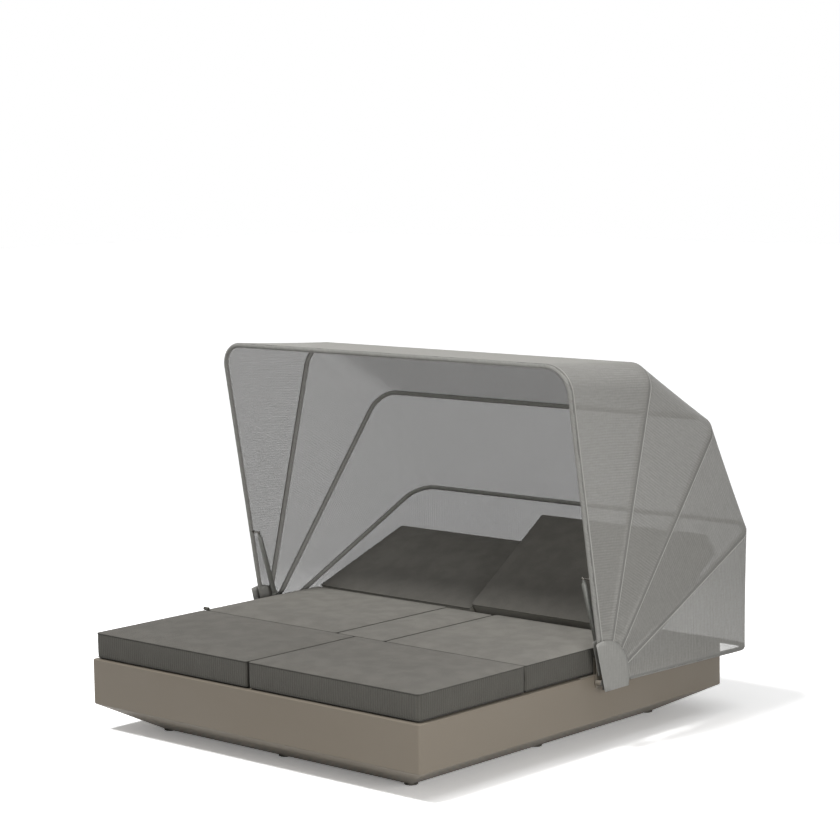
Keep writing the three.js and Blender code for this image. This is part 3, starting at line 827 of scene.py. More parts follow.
def lathe(profile: list, place: Matrix = Matrix(), steps: int = 32) -> BMesh:
    """Turn a profile about the Z axis.

    Args:
        profile: Radius and height of each of its points, from axis to axis.
        place: The matrix from the drawing to the frame.
        steps: How many steps make the turn.

    Returns:
        The closed bmesh.
    """
    bm = bmesh.new()
    verts = [bm.verts.new((radius, 0, height)) for radius, height in profile]
    edges = [bm.edges.new(pair) for pair in zip(verts, verts[1:])]
    bmesh.ops.spin(bm, geom=verts + edges, cent=(0, 0, 0), axis=(0, 0, 1), angle=math.tau, steps=steps,
                   use_merge=True)
    bmesh.ops.remove_doubles(bm, verts=bm.verts, dist=1e-6)
    close_and_face_out(bm)
    bmesh.ops.transform(bm, matrix=place, verts=bm.verts)
    return bm


def block(low: Vector, high: Vector) -> BMesh:
    """Make a box between two corners.

    Args:
        low: Its lowest corner.
        high: Its highest corner.

    Returns:
        The bmesh.
    """
    bm = bmesh.new()
    size = high - low
    place = Matrix.Translation((low + high) / 2) @ Matrix.Diagonal((*size, 1))
    bmesh.ops.create_cube(bm, size=1, matrix=place)
    return bm


def upright(bm: BMesh) -> list:
    """Return the edges of a bmesh that climb."""
    return [e for e in bm.edges if abs(e.verts[0].co.z - e.verts[1].co.z) > LEVEL]


def slice_at(bm: BMesh, point: Vector, normal: Vector) -> None:
    """Cut a bmesh's faces along a plane, and keep both halves.

    Args:
        bm: The bmesh.
        point: A point of the plane.
        normal: The plane's normal.
    """
    bmesh.ops.bisect_plane(bm, geom=bm.verts[:] + bm.edges[:] + bm.faces[:], dist=1e-5, plane_co=point,
                           plane_no=normal)


def lay_cloth(bm: BMesh, flat: Callable) -> None:
    """Give a bmesh its UV map, in metres of cloth.

    Args:
        bm: The bmesh.
        flat: The function that turns a vertex into its place on the cloth.
    """
    uv = bm.loops.layers.uv.new("cloth")
    for face in bm.faces:
        for loop in face.loops:
            loop[uv].uv = flat(loop.vert)


def path_length(points: list) -> float:
    """Return the length of a line of points."""
    return sum((end - start).length for start, end in zip(points, points[1:]))


def round_edges(bm: BMesh, edges: list, radius: float, segments: int = 3) -> None:
    """Round edges of a bmesh.

    Args:
        bm: The bmesh.
        edges: The edges to round.
        radius: The rounding's width.
        segments: How many faces make it.
    """
    bmesh.ops.bevel(bm, geom=edges, offset=radius, offset_type="OFFSET", segments=segments, profile=0.5,
                    affect="EDGES", clamp_overlap=True, material=-1)


def temporary(bm: BMesh) -> Object:
    """Make an object for a modifier's use from a bmesh, which is freed."""
    mesh = bpy.data.meshes.new("tool")
    bm.to_mesh(mesh)
    bm.free()
    return linked("tool", mesh)


def carved(bm: BMesh, cutters: list) -> BMesh:
    """Cut solids out of a bmesh.

    Args:
        bm: The solid, which is freed.
        cutters: The bmeshes to take away, which are freed.

    Returns:
        The carved solid.
    """
    target = temporary(bm)
    tools = [temporary(cutter) for cutter in cutters]
    for tool in tools:
        cut = target.modifiers.new("cut", "BOOLEAN")
        cut.operation = "DIFFERENCE"
        cut.solver = "EXACT"
        cut.object = tool
    bpy.context.view_layer.update()
    shaped = target.evaluated_get(bpy.context.evaluated_depsgraph_get())
    result = bmesh.new()
    result.from_mesh(shaped.to_mesh())
    for item in [target, *tools]:
        data = item.data
        bpy.data.objects.remove(item)
        bpy.data.meshes.remove(data)
    return result


@dataclass
class Base:
    """The moulded base: an upright side, a skirt that tapers to the floor, and the deck."""

    side: float = 0.207
    skirt: float = 0.121
    skirt_inset: Vector = field(default_factory=lambda: Vector((0.236, 0.209)))
    corner: float = 0.010
    blend_rise: float = 0.003
    blend_share: float = 0.025
    blend_steps: int = 6
    side_split: float = 0.09
    top_round: float = 0.005
    rim_steps: int = 4
    recess_lead: float = 0.027
    recess_depth: float = 0.0186
    side_wall: float = 0.016
    middle_wall: float = 0.028
    middle_drop: float = 0.002
    end_wall: float = 0.012
    well_half: float = 0.24
    well_depth: float = 0.042
    well_front: float = 0.3058
    well_back: float = 0.580
    cut_over: float = 0.01
    cut_overlap: float = 0.001
    cut_round: float = 0.0008
    foot_count: int = 9
    foot_radius: float = 0.030
    foot_height: float = 0.007

    def half(self) -> Vector:
        """Return half the deck's width and depth."""
        low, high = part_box("base_shell")
        return Vector(((high.x - low.x) / 2, (high.y - low.y) / 2))

    def shell(self) -> BMesh:
        """Build the closed shell from its flat bottom up."""
        half = self.half()
        bm = bmesh.new()
        foot = DECK - Vector((0, 0, self.side + self.skirt))
        spread = Matrix.Diagonal((half.x - self.skirt_inset.x, half.y - self.skirt_inset.y, 1, 1))
        bmesh.ops.create_grid(bm, x_segments=1, y_segments=1, size=1, matrix=Matrix.Translation(foot) @ spread)
        bmesh.ops.bevel(bm, geom=list(bm.verts), offset=self.corner, offset_type="OFFSET", segments=5,
                        profile=0.5, affect="VERTICES", material=-1)
        face = bm.faces[:]
        stages = []
        for step in range(self.blend_steps + 1):
            share = step / self.blend_steps
            skirt = (1 - share) ** 2 * self.blend_share
            stages.append((share ** 2 * self.blend_rise - self.side - skirt * self.skirt, skirt))
        stages += [(-self.side_split, 0.0), (-self.top_round, 0.0)]
        inset, level = 1.0, -self.side - self.skirt
        for height, skirt in stages:
            now, then = half - self.skirt_inset * inset, half - self.skirt_inset * skirt
            face = self.raise_face(bm, face, (then.x / now.x, then.y / now.y), height - level)
            inset, level = skirt, height
        inset, level = 0.0, 0.0
        for step in range(1, self.rim_steps + 1):
            angle = math.radians(90 * step / self.rim_steps)
            drawn_in, risen = self.top_round * (1 - math.cos(angle)), self.top_round * math.sin(angle)
            factors = (1 - (drawn_in - inset) / half.x, 1 - (drawn_in - inset) / half.y)
            face = self.raise_face(bm, face, factors, risen - level)
            inset, level = drawn_in, risen
        bmesh.ops.recalc_face_normals(bm, faces=bm.faces)
        return bm

    def raise_face(self, bm: BMesh, face: list, factors: tuple, rise: float) -> list:
        """Extrude the top face up and scale it.

        Args:
            bm: The shell.
            face: The top face.
            factors: Its scale in x and in y.
            rise: How far it goes up.

        Returns:
            The new top face.
        """
        made = bmesh.ops.extrude_face_region(bm, geom=face)["geom"]
        verts = fresh_verts(made)
        bmesh.ops.scale(bm, vec=(*factors, 1), space=Matrix.Translation(-DECK), verts=verts)
        bmesh.ops.translate(bm, verts=verts, vec=(0, 0, rise))
        return [item for item in made if isinstance(item, BMFace)]

    def hollows(self, hinge_y: float) -> list:
        """Return the cutters for the recess and the well under each back.

        Args:
            hinge_y: The backs' hinge axis in the frame.
        """
        half = self.half()
        start, end = hinge_y - self.recess_lead, DECK.y + half.y - self.end_wall
        inner, outer = self.middle_wall / 2, half.x - self.side_wall
        centre = (inner + outer) / 2
        over = DECK.z + self.cut_over
        wide = inner + self.cut_overlap
        cutters = [block(Vector((-wide, start, DECK.z - self.middle_drop)), Vector((wide, end, over)))]
        for side in SIDES.values():
            span = sorted((side * inner, side * outer))
            cutters.append(block(Vector((span[0], start, DECK.z - self.recess_depth)), Vector((span[1], end, over))))
            well = sorted((side * (centre - self.well_half), side * (centre + self.well_half)))
            cutters.append(block(Vector((well[0], hinge_y + self.well_front, DECK.z - self.well_depth)),
                                 Vector((well[1], hinge_y + self.well_back, over))))
        for cutter in cutters:
            round_edges(cutter, upright(cutter), self.cut_round, 2)
        return cutters

    def build(self, finishes: Finishes) -> None:
        """Build the base and its glides."""
        hinge_y = joint("back_left_recline")["pos_m"][1]
        shell = carved(self.shell(), self.hollows(hinge_y))
        new_piece("base_moulding", shell, "root", Slot.BASE, finishes.base, replaces=("base_shell",), crease=28)
        for number in range(1, self.foot_count + 1):
            node = f"foot_{number}"
            low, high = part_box(node)
            self.glide(node, plan_middle(low, high, 0), finishes)

    def glide(self, node: str, at: Vector, finishes: Finishes) -> None:
        """Build one glide.

        Args:
            node: The CAD node that it stands for.
            at: The middle of its sole.
            finishes: The finishes.
        """
        r, h = self.foot_radius, self.foot_height
        profile = [(0, 0.0002), (r * 0.55, 0.0002), (r * 0.6, 0), (r - 0.003, 0), (r - 0.0008, 0.0008),
                   (r, 0.003), (r, h - 0.001), (r - 0.001, h), (0.0065, h), (0.006, h + 0.001),
                   (0.006, h + 0.0215), (0.0055, h + 0.022), (0, h + 0.022)]
        bm = lathe(profile, Matrix.Translation(at), 32)
        new_piece(f"glide_{node[-1]}", bm, "root", Slot.RUBBER, finishes.rubber, replaces=(node,))


@dataclass
class BoxCushion:
    """A box cushion: crowned top, ribbed side band, and a welt along both of its rims."""

    width: float
    length: float
    thickness: float = 0.1197
    corner: float = 0.009
    crown: float = 0.0075
    cell: float = 0.019
    open_sides: tuple = (True, True, True, True)
    welt_radius: float = 0.0022
    welt_drop: float = 0.0034
    bulge: float = 0.006
    shut_bulge: float = 0.0012
    shut_inset: float = 0.0034
    row_inset: float = 0.0015
    open_outset: float = 0.0
    foot_round: float = 0.012
    foot_height: float = 0.010
    swell: float = 0.007
    upper_crease: float = 0.85
    lower_crease: float = 0.3
    foot_share: float = 0.15
    wobble: float = 0.0012
    wobble_scale: float = 9.0
    sewn_reach: float = 0.0005
    frames: int = 15
    pressure: float = 4.0
    stiffness: float = 25.0
    bend_stiffness: float = 3.0
    cloth_mass: float = 0.4
    quality: int = 4

    def blank(self) -> BMesh:
        """Build the flat-sided block that is filled later, centred on its base."""
        half = Vector((self.width / 2, self.length / 2, self.thickness))
        bm = block(Vector((-half.x, -half.y, 0)), half)
        round_edges(bm, upright(bm), self.corner)
        for axis, span, offset in ((0, self.width, -half.x), (1, self.length, -half.y), (2, self.thickness, 0.0)):
            count = max(4, round(span / self.cell))
            normal = Vector((axis == 0, axis == 1, axis == 2))
            for step in range(1, count):
                slice_at(bm, normal * (offset + span * step / count), normal)
        slice_at(bm, Vector((0, 0, self.foot_height)), Vector((0, 0, 1)))
        bmesh.ops.recalc_face_normals(bm, faces=bm.faces)
        self.lay_out(bm)
        crease = bm.edges.layers.float.new("crease_edge")
        for edge in bm.edges:
            if edge.link_faces[0].material_index != edge.link_faces[1].material_index:
                upper = edge.verts[0].co.z > self.thickness / 2
                edge[crease] = self.upper_crease if upper else self.lower_crease
        return bm

    def lay_out(self, bm: BMesh) -> None:
        """Give each face its panel and its place on the cloth, in metres."""
        uv = bm.loops.layers.uv.new("cloth")
        for face in bm.faces:
            side = abs(face.normal.z) < 0.5
            face.material_index = Panel.SIDE.value if side else Panel.TOP.value
            # Faces below the foot height take the near-black painted shade of the gap against the deck.
            if face.calc_center_median().z < self.foot_height:
                face.material_index = Panel.BASE.value
            along_y = abs(face.normal.x) > abs(face.normal.y)
            for loop in face.loops:
                x, y, z = loop.vert.co
                loop[uv].uv = (y if along_y else x, z) if side else (x, y)

    def fullness(self, x: float, y: float) -> float:
        """Return the share of the crown at a place, from 0 at the rim to 1 in the middle."""
        fx = 1 - abs(2 * x / self.width) ** 6
        fy = 1 - abs(2 * y / self.length) ** 6
        return max(fx, 0) * max(fy, 0)

    def fill(self, bm: BMesh, sides_full: bool) -> None:
        """Crown the top and round the foot of the sides.

        Args:
            bm: The cushion's blank.
            sides_full: True to bulge the sides between the rims here, without a simulation.
        """
        for vert in bm.verts:
            x, y, z = vert.co
            if z > self.thickness - HAIR:
                full = self.fullness(x, y)
                spot = Vector((x * self.wobble_scale, y * self.wobble_scale, self.width))
                vert.co.z += self.crown * full ** 0.5
                vert.co.z += self.wobble * noise.noise(spot) * full
            inwards = 0.0
            if z < self.foot_height - HAIR:
                inwards = self.foot_round
            elif z < self.foot_height + HAIR:
                inwards = self.foot_round * self.foot_share
            for axis, span in ((0, self.width), (1, self.length)):
                place = vert.co[axis]
                outwards = self.looseness(axis, place) * self.slack(z) if sides_full else 0.0
                if self.open_sides[2 * axis + (place > 0)]:
                    outwards += self.open_outset
                else:
                    outwards -= self.row_inset if axis else self.shut_inset
                vert.co[axis] += math.copysign(1, place) * (outwards - inwards) * self.nearness(place, span)

    def slack(self, z: float) -> float:
        """Return how freely a side swells at a height, from 0 at the rims to 1 between them."""
        return math.sin(math.pi * min(1.0, max(0.0, z / self.thickness))) ** 0.6

    def looseness(self, axis: int, place: float) -> float:
        """Return how far a side may swell: little where the next cushion is close.

        Args:
            axis: 0 for the sides in x, 1 for the sides in y.
            place: The point's place on that axis.

        Returns:
            The swelling.
        """
        return self.bulge if self.open_sides[2 * axis + (place > 0)] else self.shut_bulge

    def nearness(self, place: float, span: float) -> float:
        """Return 1 on a side of the cushion, falling to 0 over the round of its corner."""
        return min(1.0, max(0.0, 1 - (span / 2 - abs(place)) / self.corner))

    def rim(self, mesh: bpy.types.Mesh, top: bool) -> list:
        """Return the points of a rim in order round the cushion.

        Args:
            mesh: The cushion's mesh.
            top: True for the upper rim.

        Returns:
            The points.
        """
        bm = bmesh.new()
        bm.from_mesh(mesh)
        level = self.thickness / 2
        edges = [e for e in bm.edges if len(e.link_faces) == 2
                 and e.link_faces[0].material_index != e.link_faces[1].material_index
                 and (e.verts[0].co.z > level) == top]
        near = {}
        for edge in edges:
            for vert in edge.verts:
                near.setdefault(vert.index, []).append(edge.other_vert(vert).index)
        start = min(near)
        order, previous, current = [start], None, start
        while True:
            step = next(n for n in near[current] if n != previous)
            if step == start:
                break
            order.append(step)
            previous, current = current, step
        bm.verts.ensure_lookup_table()
        points = [bm.verts[i].co.copy() for i in order]
        bm.free()
        return points

    def welt(self, points: list, place: Matrix) -> BMesh:
        """Sweep the welt along a rim.

        Args:
            points: The rim's points.
            place: The matrix from the cushion to the frame.

        Returns:
            The welt's bmesh.
        """
        curve = bpy.data.curves.new("welt", "CURVE")
        curve.dimensions = "3D"
        curve.bevel_depth = self.welt_radius
        curve.bevel_resolution = 2
        spline = curve.splines.new("POLY")
        spline.points.add(len(points) - 1)
        for target, point in zip(spline.points, points):
            target.co = (*point, 1)
        spline.use_cyclic_u = True
        rope = linked("welt", curve)
        bm = bmesh.new()
        bpy.context.view_layer.update()
        bm.from_mesh(rope.evaluated_get(bpy.context.evaluated_depsgraph_get()).to_mesh())
        bpy.data.objects.remove(rope)
        bpy.data.curves.remove(curve)
        bmesh.ops.remove_doubles(bm, verts=bm.verts, dist=1e-6)
        bmesh.ops.recalc_face_normals(bm, faces=bm.faces)
        bmesh.ops.transform(bm, matrix=place, verts=bm.verts)
        return bm

    def simulate(self, piece: Object) -> None:
        """Let the filling swell the panels between the sewn rims, by cloth simulation.

        Args:
            piece: The cushion, still in its own axes.
        """
        mesh = piece.data
        rest = [v.co.copy() for v in mesh.vertices]
        held = piece.vertex_groups.new(name="sewn")
        for vert in mesh.vertices:
            if self.is_sewn(vert.co) or vert.co.z < self.sewn_reach:
                held.add([vert.index], 1.0, "REPLACE")
        cloth = piece.modifiers.new("filling", "CLOTH")
        settings = cloth.settings
        settings.quality = self.quality
        settings.mass = self.cloth_mass
        settings.use_pressure = True
        settings.uniform_pressure_force = self.pressure
        settings.tension_stiffness = settings.compression_stiffness = self.stiffness
        settings.bending_stiffness = self.bend_stiffness
        settings.vertex_group_mass = "sewn"
        settings.effector_weights.gravity = 0
        cloth.collision_settings.use_collision = False
        scene = bpy.context.scene
        for number in range(1, self.frames + 1):
            scene.frame_set(number)
        shaped = piece.evaluated_get(bpy.context.evaluated_depsgraph_get()).to_mesh()
        moved = [v.co.copy() for v in shaped.vertices]
        piece.modifiers.remove(cloth)
        scene.frame_set(1)
        for vert, start, end in zip(mesh.vertices, rest, moved):
            step = end - start
            if step.length > self.swell:
                step *= self.swell / step.length
            for axis, span in ((0, self.width), (1, self.length)):
                near = self.nearness(start[axis], span)
                most = self.looseness(axis, start[axis]) * self.slack(start.z) * near
                if near > 0:
                    step[axis] = math.copysign(min(abs(step[axis]), most), start[axis])
            vert.co = start + step

    def is_sewn(self, point: Vector) -> bool:
        """Return True for a point on one of the rims."""
        spare = self.sewn_reach
        reach = self.foot_round + spare
        near_side = (self.width / 2 - abs(point.x) < reach or self.length / 2 - abs(point.y) < reach
                     or self.in_corner(point))
        return near_side and (point.z < self.foot_height + spare or self.thickness - point.z < spare)

    def in_corner(self, point: Vector) -> bool:
        """Return True for a point on the round of a corner."""
        dx = abs(point.x) - (self.width / 2 - self.corner)
        dy = abs(point.y) - (self.length / 2 - self.corner)
        return dx > 0 and dy > 0 and math.hypot(dx, dy) > self.corner - 0.0008

    def build(self, name: str, body: str, place: Matrix, finishes: Finishes,
              top: Material, side: Material, welt: Material) -> Object:
        """Build the cushion with its welts.

        Args:
            name: The CAD node that it stands for.
            body: The body it rides on.
            place: The matrix from the cushion to the frame.
            finishes: The finishes.
            top: The cloth of its top.
            side: The cloth of its side band.
            welt: The cloth of its welts.

        Returns:
            The cushion's object.
        """
        bm = self.blank()
        self.fill(bm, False)
        piece = new_piece(f"{name}_pad", bm, body, Slot.CUSHION, top, side, finishes.cushion_foot_painted_shade,
                          replaces=(name,), crease=60)
        self.simulate(piece)
        # The seam attribute marks the corner seams, which the cloth darkens as painted shade.
        seams = piece.data.attributes.new("seam", "FLOAT", "POINT")
        for vert in piece.data.vertices:
            x, y = abs(vert.co.x), abs(vert.co.y)
            diagonal = abs((self.width / 2 - x) - (self.length / 2 - y))
            on_corner = self.in_corner(vert.co) and diagonal < 0.004
            seams.data[vert.index].value = 1.0 if on_corner else 0.0
        rims = {is_upper: self.rim(piece.data, is_upper) for is_upper in (True, False)}
        rims[True] = [point - Vector((0, 0, self.welt_drop)) for point in rims[True]]
        piece.data.transform(place)
        smooth = piece.modifiers.new("smooth", "SUBSURF")
        smooth.levels = smooth.render_levels = 1
        for is_upper, points in rims.items():
            label = "upper" if is_upper else "lower"
            new_piece(f"{name}_welt_{label}", self.welt(points, place), body, Slot.CUSHION, welt, crease=80)
        return piece


@dataclass
class Seat:
    """The two rows of seat cushions."""

    nodes: tuple = ("cushion_front_left", "cushion_front_right", "cushion_middle_left", "cushion_middle_right",
                    "cushion_centre")
    edge: float = 0.95
    corner: float = 0.014
    strip_corner: float = 0.018
    front_outset: float = 0.003
    front_bulge: float = 0.007
    middle_bulge: float = 0.0025
    tab_radius: float = 0.008
    tab_length: float = 0.030
    tab_inset: float = -0.002
    tab_round: float = 0.001

    def build(self, finishes: Finishes) -> None:
        """Build each cushion in the space of its node."""
        for node in self.nodes:
            low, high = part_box(node)
            in_front = "front" in node
            open_sides = (low.x < -self.edge, high.x > self.edge, in_front, False)
            corner = self.strip_corner if "centre" in node else self.corner
            cushion = BoxCushion(high.x - low.x, high.y - low.y, corner=corner, open_sides=open_sides,
                                 open_outset=self.front_outset if in_front else 0.0,
                                 bulge=self.front_bulge if in_front else self.middle_bulge)
            place = Matrix.Translation(plan_middle(low, high, low.z))
            top = finishes.cushion_front if in_front else finishes.cushion_middle
            cushion.build(node, "root", place, finishes, top, finishes.cushion_side, finishes.welt)
        self.tab(finishes)

    def tab(self, finishes: Finishes) -> None:
        """Build the webbing loop that joins the left cushions of the two rows."""
        low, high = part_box("cushion_front_left")
        r, length, soft = self.tab_radius, self.tab_length, self.tab_round
        profile = [(0, 0), (r - soft, 0), (r, soft), (r, length - soft), (r - soft, length), (0, length)]
        bm = lathe(profile, along_x(Vector((low.x + self.tab_inset, high.y, high.z))), 20)
        new_piece("webbing_loop", bm, "root", Slot.CUSHION, finishes.cushion_side, crease=40)


@dataclass
class Back:
    """One reclining back: board, cushion, prop and the pieces that carry them."""

    label: str
    thickness: float = 0.018
    length: float = 0.600
    cushion_length: float = 0.645
    cushion_lead: float = 0.024
    cushion_travel: float = 0.180
    cushion_lift: float = 0.0093
    cushion_inset: float = 0.0015
    prop_length: float = 0.270
    prop_half: float = 0.160
    prop_stub: float = 0.036
    prop_radius: float = 0.006
    prop_bend: float = 0.012
    window_lead: float = 0.019
    rack_end: float = 0.569
    side_rail: float = 0.070
    slot_gap: float = 0.026
    slot_pitch: float = 0.088
    slot_first: float = 0.062
    nose_share: float = 0.98
    end_round: float = 0.012
    window_round: float = 0.008
    window_spare: float = 0.019
    edge_round: float = 0.0012
    edge_angle: float = 50.0

    def hinge(self) -> Vector:
        """Return the middle of the hinge axis."""
        return Vector(joint(f"back_{self.label}_recline")["pos_m"])

    def recline(self) -> float:
        """Return how far the back stands up at rest, in degrees."""
        return -joint(f"back_{self.label}_recline")["range_deg"][0]

    def place(self) -> Matrix:
        """Return the matrix from the board's own axes to the frame."""
        return Matrix.Translation(self.hinge()) @ Matrix.Rotation(math.radians(self.recline()), 4, "X")

    def board(self, finishes: Finishes) -> None:
        """Build the slotted board with its round nose."""
        low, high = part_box(f"back_board_{self.label}")
        half_w, half_t = (high.x - low.x) / 2, self.thickness / 2
        bm = block(Vector((-half_w, -half_t, -half_t)), Vector((half_w, self.length, half_t)))
        nose = [e for e in bm.edges if all(abs(v.co.y + half_t) < 1e-6 for v in e.verts)
                and abs(e.verts[0].co.x - e.verts[1].co.x) > 0.1]
        round_edges(bm, nose, half_t * self.nose_share, 8)
        far = [e for e in upright(bm) if all(abs(v.co.y - self.length) < 1e-6 for v in e.verts)]
        round_edges(bm, far, self.end_round, 5)
        cutters = [self.window(self.prop_half + self.window_spare, self.prop_length - self.window_lead, self.rack_end)]
        start = self.slot_first
        while start + self.slot_gap <= self.prop_length - self.window_lead - self.slot_first:
            cutters.append(self.window(half_w - self.side_rail, start, start + self.slot_gap))
            start += self.slot_pitch
        bm = carved(bm, cutters)
        bmesh.ops.transform(bm, matrix=self.place(), verts=bm.verts)
        piece = new_piece(f"board_{self.label}", bm, f"back_board_{self.label}", Slot.BOARD, finishes.board,
                          replaces=(f"back_board_{self.label}",), crease=30)
        soft = piece.modifiers.new("soft_edges", "BEVEL")
        soft.width = self.edge_round
        soft.segments = 2
        soft.limit_method = "ANGLE"
        soft.angle_limit = math.radians(self.edge_angle)

    def window(self, half: float, start: float, end: float) -> BMesh:
        """Make the cutter for an opening with rounded corners.

        Args:
            half: Half its width.
            start: Where it begins, from the hinge.
            end: Where it ends.

        Returns:
            The cutter.
        """
        bm = block(Vector((-half, start, -self.thickness)), Vector((half, end, self.thickness)))
        round_edges(bm, upright(bm), self.window_round, 4)
        return bm

    def prop(self, finishes: Finishes) -> None:
        """Build the U-shaped prop."""
        up = Vector((0, 0, 1))
        bar = Bar(self.prop_radius, Vector((-self.prop_half - self.prop_stub, 0, 0)), Vector((1, 0, 0)), 16)
        straight = self.prop_length - 2 * self.prop_bend
        bar.run(self.prop_stub - self.prop_bend).bend(up, self.prop_bend, 90, 6).run(straight)
        bar.bend(up, self.prop_bend, -90, 6).run(2 * self.prop_half - 2 * self.prop_bend)
        bar.bend(up, self.prop_bend, -90, 6).run(straight).bend(up, self.prop_bend, 90, 6)
        bar.run(self.prop_stub - self.prop_bend)
        tilt = Matrix.Rotation(math.radians(-2 * self.recline()), 4, "X")
        place = self.place() @ Matrix.Translation((0, self.prop_length, 0)) @ tilt
        new_piece(f"prop_{self.label}", bar.done(place), f"back_prop_{self.label}", Slot.STEEL, finishes.steel,
                  replaces=(f"back_prop_{self.label}",), crease=50)

    def cushion(self, finishes: Finishes) -> None:
        """Build the back cushion at its place on the board."""
        node = f"back_cushion_{self.label}"
        low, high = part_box(node)
        slide = self.cushion_travel * math.radians(self.recline()) - self.cushion_lead
        along = Vector(((low.x + high.x) / 2 - self.hinge().x, slide + self.cushion_length / 2, self.cushion_lift))
        is_left = self.label == "left"
        cushion = BoxCushion(high.x - low.x, self.cushion_length, shut_inset=self.cushion_inset,
                             open_sides=(is_left, not is_left, False, True))
        cushion.build(node, node, self.place() @ Matrix.Translation(along), finishes, finishes.cushion_back,
                      finishes.cushion_back_side_painted_light, finishes.cushion_side)

    def build(self, finishes: Finishes) -> None:
        """Build the back and dress what carries it."""
        self.board(finishes)
        self.prop(finishes)
        self.cushion(finishes)
        dress(f"hinge_rod_{self.label}", finishes.steel)
        for end in ("inner", "outer"):
            dress(f"hinge_block_{self.label}_{end}", finishes.steel)
            dress(f"prop_rack_{self.label}_{end}", finishes.board)


def two_walled(piece: Object, thickness: float, offset: float, second: int = 0) -> None:
    """Give a sheet its second wall.

    Args:
        piece: The sheet.
        thickness: The cloth's thickness.
        offset: Where the wall lies, from -1 for inwards to 1 for outwards.
        second: How many materials further on the second wall's is.
    """
    wall = piece.modifiers.new("wall", "SOLIDIFY")
    wall.thickness = thickness
    wall.offset = offset
    wall.material_offset = second


def dress(node: str, material: Material) -> None:
    """Give a CAD node that stays its finish.

    Args:
        node: The node's name.
        material: Its material.
    """
    piece = frame["nodes"][node]
    piece.data.materials.clear()
    piece.data.materials.append(material)
    LOG.info("%s keeps its CAD form", node)


@dataclass(frozen=True)
class Hoop:
    """The place of one canopy hoop."""

    name: str
    body: str
    angle: float
    reach: float
    layer: int


